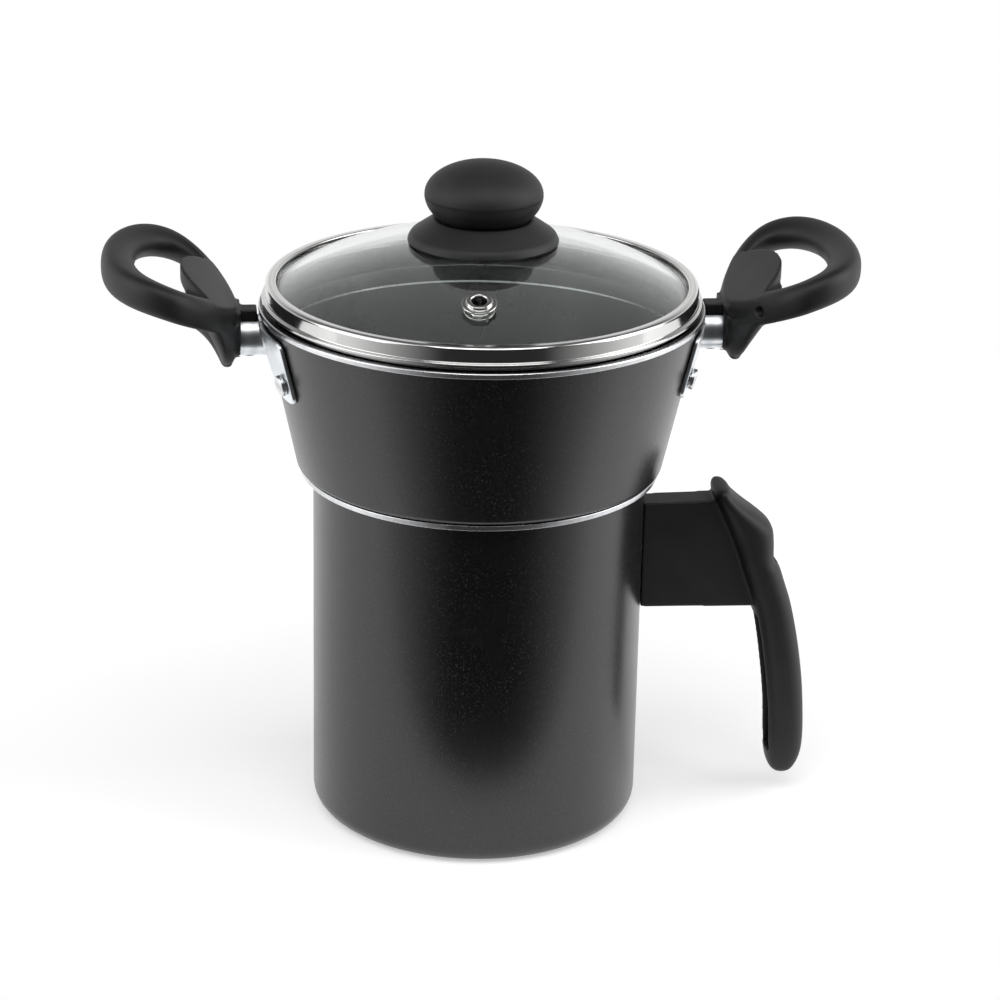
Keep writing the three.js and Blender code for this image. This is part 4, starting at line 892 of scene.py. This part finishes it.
def bracket_feet():
    """The sheet on the wall: two feet with an arch between them under the ferrule."""
    arch = FERRULE_BOTTOM + 1
    half = [
        (FERRULE_WIDTH / 2, arch), (FOOT_INSIDE, FOOT_BOTTOM),
        (FOOT_SPREAD, FOOT_BOTTOM), (FOOT_SPREAD, FOOT_TOP),
    ]
    corners = [(-y, z) for y, z in reversed(half)] + half
    feet = bmesh.new()
    verts = [feet.verts.new((0, y * MM, (BOWL_TOP + z) * MM)) for y, z in corners]
    feet.faces.new(verts)
    bmesh.ops.bevel(
        feet, geom=verts, offset=FOOT_ROUND * MM, offset_type="OFFSET", affect="VERTICES",
        segments=8, profile=0.5, material=-1,
    )
    drawn_out(feet, (SHEET, 0, 0))
    sliced(feet, [SLICE * i for i in range(-SLICES, SLICES + 1)], (0, 1, 0))
    for vert in feet.verts:
        out = (wall_radius(vert.co.z / MM) + GAP) * MM + vert.co.x
        vert.co.x = math.sqrt(out ** 2 - vert.co.y ** 2)
    bmesh.ops.recalc_face_normals(feet, faces=feet.faces)
    return feet


flare = BOWL_TOP - LIP - 1
above_lid = BOWL_TOP + 30
bowl_room = turned([
    (0, BOWL_SEAT), (BOWL_FOOT + GAP, BOWL_SEAT), (wall_radius(flare) + GAP, flare),
    (BOWL_LIP + GAP, BOWL_TOP - LIP - GAP), (BOWL_LIP + GAP, above_lid), (0, above_lid),
], steps=256)
tube = cut(ferrule(0, DEEP, BOWL_LIP + FERRULE_LENGTH), bowl_room)
for side, bracket in both_sides(moulding([bracket_feet(), tube], [], voxel=0.3, smoothing=5)):
    finish_piece(
        bracket, side + "_bracket_pressed", "bowl", "chromed_steel", side + "_handle_bracket", plated, sharp=180
    )

# %% Rivets
RIVET_SIDE, RIVET_Z = 25.2, BOWL_TOP - 21.5
RIVET_TURN = math.asin(RIVET_SIDE / wall_radius(RIVET_Z))
RIVET_HEAD, RIVET_HEIGHT, RIVET_SHANK, RIVET_ROUND, RIVET_EDGE = 3.9, 1.6, 2.1, 1.3, 0.2
INNER_SEAT = -BOWL_WALL - 0.5
INNER_CROWN = INNER_SEAT - RIVET_HEIGHT
OUTER_SEAT = 2 * GAP + SHEET
OUTER_CROWN = OUTER_SEAT + RIVET_HEIGHT
RIVETS = {
    "right_front": -RIVET_TURN, "right_back": RIVET_TURN,
    "left_front": math.pi + RIVET_TURN, "left_back": math.pi - RIVET_TURN,
}
for name, turn in RIVETS.items():
    rivet = turned([
        (0, INNER_CROWN), (RIVET_HEAD, INNER_CROWN, RIVET_ROUND), (RIVET_HEAD, INNER_SEAT, RIVET_EDGE),
        (RIVET_SHANK, INNER_SEAT), (RIVET_SHANK, OUTER_SEAT),
        (RIVET_HEAD, OUTER_SEAT, RIVET_EDGE), (RIVET_HEAD, OUTER_CROWN, RIVET_ROUND), (0, OUTER_CROWN),
    ], steps=40)
    place = (
        Matrix.Rotation(turn, 4, "Z")
        @ Matrix.Translation(Vector((wall_radius(RIVET_Z), 0, RIVET_Z)) * MM)
        @ Matrix.Rotation(math.pi / 2 + math.atan(BOWL_SLOPE), 4, "Y")
    )
    bmesh.ops.transform(rivet, matrix=place, verts=rivet.verts)
    finish_piece(rivet, name + "_rivet_domed", "bowl", "bare_aluminium", name + "_rivet", bare_aluminium)

# %% Screws of the side handles
SCREW_BOTTOM, SCREW_REACH, SCREW_LENGTH = BOWL_TOP + FERRULE_BOTTOM, 3.4, 12
SUNK_RADIUS, SUNK_DEPTH, SUNK_THREAD = 2.5, 1.2, 1.3
sunk = turned([
    (0, SCREW_BOTTOM), (SUNK_RADIUS, SCREW_BOTTOM, 0.1), (SUNK_THREAD, SCREW_BOTTOM + SUNK_DEPTH),
    (SUNK_THREAD, SCREW_BOTTOM + SCREW_LENGTH, 0.3), (0, SCREW_BOTTOM + SCREW_LENGTH),
], steps=40)
sunk = cut(sunk, *cross_recess(0.7, 0.9, 2.8, SCREW_BOTTOM))
bmesh.ops.translate(sunk, vec=((BOWL_LIP + SCREW_REACH) * MM, 0, 0), verts=sunk.verts)
for side, screw in both_sides(sunk):
    finish_piece(
        screw, side + "_screw_countersunk", "bowl", "stainless_steel", side + "_handle_screw", stainless
    )

# %% [markdown]
# ## Mug handle
# The handle is one phenolic moulding: a flat neck on the mug's wall, a thumb tab, and a grip that hangs down.
# The grip is hollow at the back, and a long screw goes through it into a boss on the wall.
# The grip is swept through rounded sections and the neck is a flat outline. They are joined, hollowed and
# softened by a fine remesh; a subdivided cage would need many more points for the thumb tab.

# %% Lines of the mug handle
NECK_Z = MUG_HEIGHT - 37.4
NECK_HALF, NECK_WIDTH = 21.7, 12
# Stations of the grip from the thumb tab down to the toe, out from the wall and up from the neck's axis:
# inner edge, outer edge, half the width
GRIP_STATIONS = [
    (28.6, 26.4, 30.2, 26.6, 7), (26.6, 25.8, 32.6, 26.2, 9.6), (26.6, 23, 34, 23.6, 10.6),
    (28.4, 18.6, 38.4, 19.6, 11), (31.5, 11, 45.5, 14.6, 11), (33.5, 6, 50.4, 10, 11),
    (35.5, 1, 51, 2.5, 11), (37, -3, 51.3, -3.4, 11), (38.2, -7, 53.6, -6.2, 11),
    (40, -12, 55.8, -13, 11), (43.6, -22, 58.6, -21, 11), (46.4, -35, 62, -36, 11),
    (49, -52, 64.6, -52.5, 11), (50.6, -66, 65.7, -66, 11), (51, -77, 66.2, -77, 11),
    (51.6, -84, 65.6, -84.5, 10.4), (52.8, -89.6, 63, -90.4, 8.8), (54.6, -91.8, 60.6, -92.2, 5.6),
]
GRIP_SQUARENESS = 2.5


def eased(rows, rounds=3):
    """Cuts the corners of a run of rows again and again, which makes it smooth and keeps both ends."""
    for _ in range(rounds):
        cut_rows = [rows[0]]
        for a, b in zip(rows, rows[1:]):
            cut_rows += [tuple(p + (q - p) * share for p, q in zip(a, b)) for share in (0.25, 0.75)]
        rows = cut_rows + [rows[-1]]
    return rows


stations = eased(GRIP_STATIONS)
print("grip of", len(stations), "sections")

# %% Mug handle
def mug_grip_sweep(around=40):
    """Rounded sections from station to station, closed at both ends."""
    bm = bmesh.new()
    rings = []
    for inner_x, inner_z, outer_x, outer_z, half_width in stations:
        ring = bmesh.ops.create_circle(bm, segments=around, radius=1)["verts"]
        for vert in ring:
            share = (1 + squared(vert.co.x, GRIP_SQUARENESS)) / 2
            out = MUG_RADIUS + inner_x + (outer_x - inner_x) * share
            up = NECK_Z + inner_z + (outer_z - inner_z) * share
            vert.co = Vector((out, squared(vert.co.y, GRIP_SQUARENESS) * half_width, up)) * MM
        rings.append(ring)
    return bridged(bm, rings)


def upright(line, width):
    """A flat outline out from the wall and up, drawn out across Y to a width."""
    bm = prism(line, -width / 2, width / 2)
    bmesh.ops.rotate(bm, cent=(0, 0, 0), matrix=Matrix.Rotation(math.pi / 2, 3, "X"), verts=bm.verts)
    bmesh.ops.translate(bm, vec=Vector((MUG_RADIUS, 0, NECK_Z)) * MM, verts=bm.verts)
    return bm


SHOULDER, SCREW_DROP = 49, 1.5
neck_line = [(-6, 1 - NECK_HALF), (45, -NECK_HALF), (31, NECK_HALF), (-6, NECK_HALF - 1)]
channel_line = [(39.4, -25.7), (47.5, -82.8), (56.5, -82.8), (57, -66), (54, -42), (47, -25.7)]
SCREW_CROWN = MUG_RADIUS + SHOULDER - 1.1
RECESS_FLOOR = SCREW_CROWN - 3 - 1.6
RECESS_END = SCREW_CROWN + 15
BOSS_END = MUG_RADIUS + 14.3
BOSS_HOLE, SHANK_HOLE, RECESS_RADIUS, INSIDE_MUG = 4.8, 2.4, 5.2, 40
screw_way = turned([
    (0, INSIDE_MUG), (BOSS_HOLE, INSIDE_MUG), (BOSS_HOLE, BOSS_END), (SHANK_HOLE, BOSS_END),
    (SHANK_HOLE, RECESS_FLOOR), (RECESS_RADIUS, RECESS_FLOOR), (RECESS_RADIUS, RECESS_END), (0, RECESS_END),
], steps=48)
ALONG_X = Matrix.Translation((0, 0, (NECK_Z - SCREW_DROP) * MM)) @ Matrix.Rotation(math.pi / 2, 4, "Y")
bmesh.ops.transform(screw_way, matrix=ALONG_X, verts=screw_way.verts)
mug_room = rod(MUG_RADIUS + GAP, -5, MUG_HEIGHT + 5, steps=256)
mug_grip = moulding(
    [mug_grip_sweep(), upright(neck_line, NECK_WIDTH)],
    [upright(channel_line, NECK_WIDTH), screw_way, mug_room],
    voxel=0.45, smoothing=5,
)
finish_piece(mug_grip, "mug_handle_moulded", "mug", "phenolic", "mug_handle", phenolic, sharp=180)

# %% Remaining CAD nodes get their metals
for node, metal in [
    ("mug_handle_stud", bare_aluminium), ("mug_handle_screw", stainless), ("mug_handle_washer", stainless),
]:
    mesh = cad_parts[node].data
    mesh.materials.clear()
    mesh.materials.append(metal)
    print(node, "is", metal.name)

# %% [markdown]
# ## Floor, light and background
# A product picture stands on white. The floor is a real surface that takes the shadow, and it also glows a
# little to the camera. Large soft lamps stand left, right and above, weak enough to keep colours as written.
# The bright walls of the studio are in the world: pale all round and dark in front, where the camera stands,
# so the coat has a dark middle between two pale sides, as in the photograph.

# %% Floor
FLOOR_FRONT, FLOOR_BACK, FLOOR_SIDE = -0.115, 0.5, 2  # metres
FLOOR_GLOW = 0.42
floor_mesh = bmesh.new()
corners = [(-1, FLOOR_FRONT), (1, FLOOR_FRONT), (1, FLOOR_BACK), (-1, FLOOR_BACK)]
floor_mesh.faces.new([floor_mesh.verts.new((side * FLOOR_SIDE, y, 0)) for side, y in corners])
mesh = bpy.data.meshes.new("studio_floor")
floor_mesh.to_mesh(mesh)
floor_mesh.free()
floor = bpy.data.objects.new("studio_floor", mesh)
scene.collection.objects.link(floor)
paper, tree, shader, place = start_material("paper_white", {
    "Base Color": linear("#e6e6e6"), "Roughness": 0.9, "Emission Color": linear("#ffffff"),
})
ray = add_node(tree, "ShaderNodeLightPath")
seen = add_node(
    tree, "ShaderNodeMath", {"operation": "MAXIMUM"},
    {0: ray.outputs["Is Camera Ray"], 1: ray.outputs["Is Glossy Ray"]},
)
seen = add_node(
    tree, "ShaderNodeMath", {"operation": "MAXIMUM"},
    {0: seen.outputs[0], 1: ray.outputs["Is Transmission Ray"]},
)
glow = add_node(tree, "ShaderNodeMath", {"operation": "MULTIPLY"}, {0: seen.outputs[0], 1: FLOOR_GLOW})
set_inputs(tree, shader, {"Emission Strength": glow.outputs[0]})
mesh.materials.append(paper)
print("floor from", FLOOR_FRONT, "to", FLOOR_BACK, "m")

# %% World
AMBIENT = 0.25  # light from the world on matt surfaces
world = bpy.data.worlds.new("studio_world")
scene.world = world
world.use_nodes = True
tree = world.node_tree
ray = add_node(tree, "ShaderNodeLightPath")
direct = add_node(
    tree, "ShaderNodeMath", {"operation": "MAXIMUM"},
    {0: ray.outputs["Is Camera Ray"], 1: ray.outputs["Is Transmission Ray"]},
)
# In reflections the walls are dark in front and bright elsewhere, and fade upwards
direction = add_node(tree, "ShaderNodeTexCoord").outputs["Generated"]
flat = add_node(tree, "ShaderNodeVectorMath", {"operation": "MULTIPLY"}, {0: direction, 1: (1, 1, 0)})
flat = add_node(tree, "ShaderNodeVectorMath", {"operation": "NORMALIZE"}, {0: flat.outputs[0]})
turn = add_node(tree, "ShaderNodeSeparateXYZ", inputs={"Vector": flat.outputs[0]})
split = add_node(tree, "ShaderNodeSeparateXYZ", inputs={"Vector": direction})
behind = add_node(
    tree, "ShaderNodeMapRange",
    inputs={"Value": turn.outputs["Y"], "From Min": -0.9, "From Max": -0.2, "To Min": 0.03, "To Max": 1.0},
)
low = add_node(
    tree, "ShaderNodeMapRange",
    inputs={"Value": split.outputs["Z"], "From Min": 0.22, "From Max": 0.6, "To Min": 1.0, "To Max": 0.14},
)
walls = add_node(
    tree, "ShaderNodeMath", {"operation": "MULTIPLY"}, {0: behind.outputs["Result"], 1: low.outputs["Result"]}
)
glossy = add_node(
    tree, "ShaderNodeMath", {"operation": "MULTIPLY"}, {0: ray.outputs["Is Glossy Ray"], 1: walls.outputs[0]}
)
level = add_node(tree, "ShaderNodeMath", {"operation": "MAXIMUM"}, {0: direct.outputs[0], 1: glossy.outputs[0]})
dim = add_node(
    tree, "ShaderNodeMath", {"operation": "MULTIPLY"}, {0: ray.outputs["Is Diffuse Ray"], 1: AMBIENT}
)
level = add_node(tree, "ShaderNodeMath", {"operation": "MAXIMUM"}, {0: level.outputs[0], 1: dim.outputs[0]})
set_inputs(tree, tree.nodes["Background"], {"Color": linear("#ffffff"), "Strength": level.outputs[0]})
print("world with", len(tree.nodes), "nodes")

# %% Lamps
LAMPS = [
    # name, place and size (wide, high) in metres, watts
    ("left_softbox", (-1.1, -0.25, 0.75), (1.2, 1.4), 8),
    ("right_softbox", (1.1, -0.2, 0.75), (1.0, 1.3), 10),
    ("top_softbox", (0.0, -0.75, 1.45), (1.2, 0.8), 9),
]
LAMP_AIM = Vector((0, 0, 0.13))
for name, place, size, power in LAMPS:
    lamp_data = bpy.data.lights.new(name, "AREA")
    lamp_data.shape = "RECTANGLE"
    lamp_data.size, lamp_data.size_y = size
    lamp_data.energy = power
    lamp = bpy.data.objects.new(name, lamp_data)
    lamp.location = place
    lamp.rotation_euler = (LAMP_AIM - Vector(place)).to_track_quat("-Z", "Y").to_euler()
    scene.collection.objects.link(lamp)
print("lamps:", [name for name, *_ in LAMPS])

# %% Standard view transform, and the end
scene.view_settings.view_transform = "Standard"
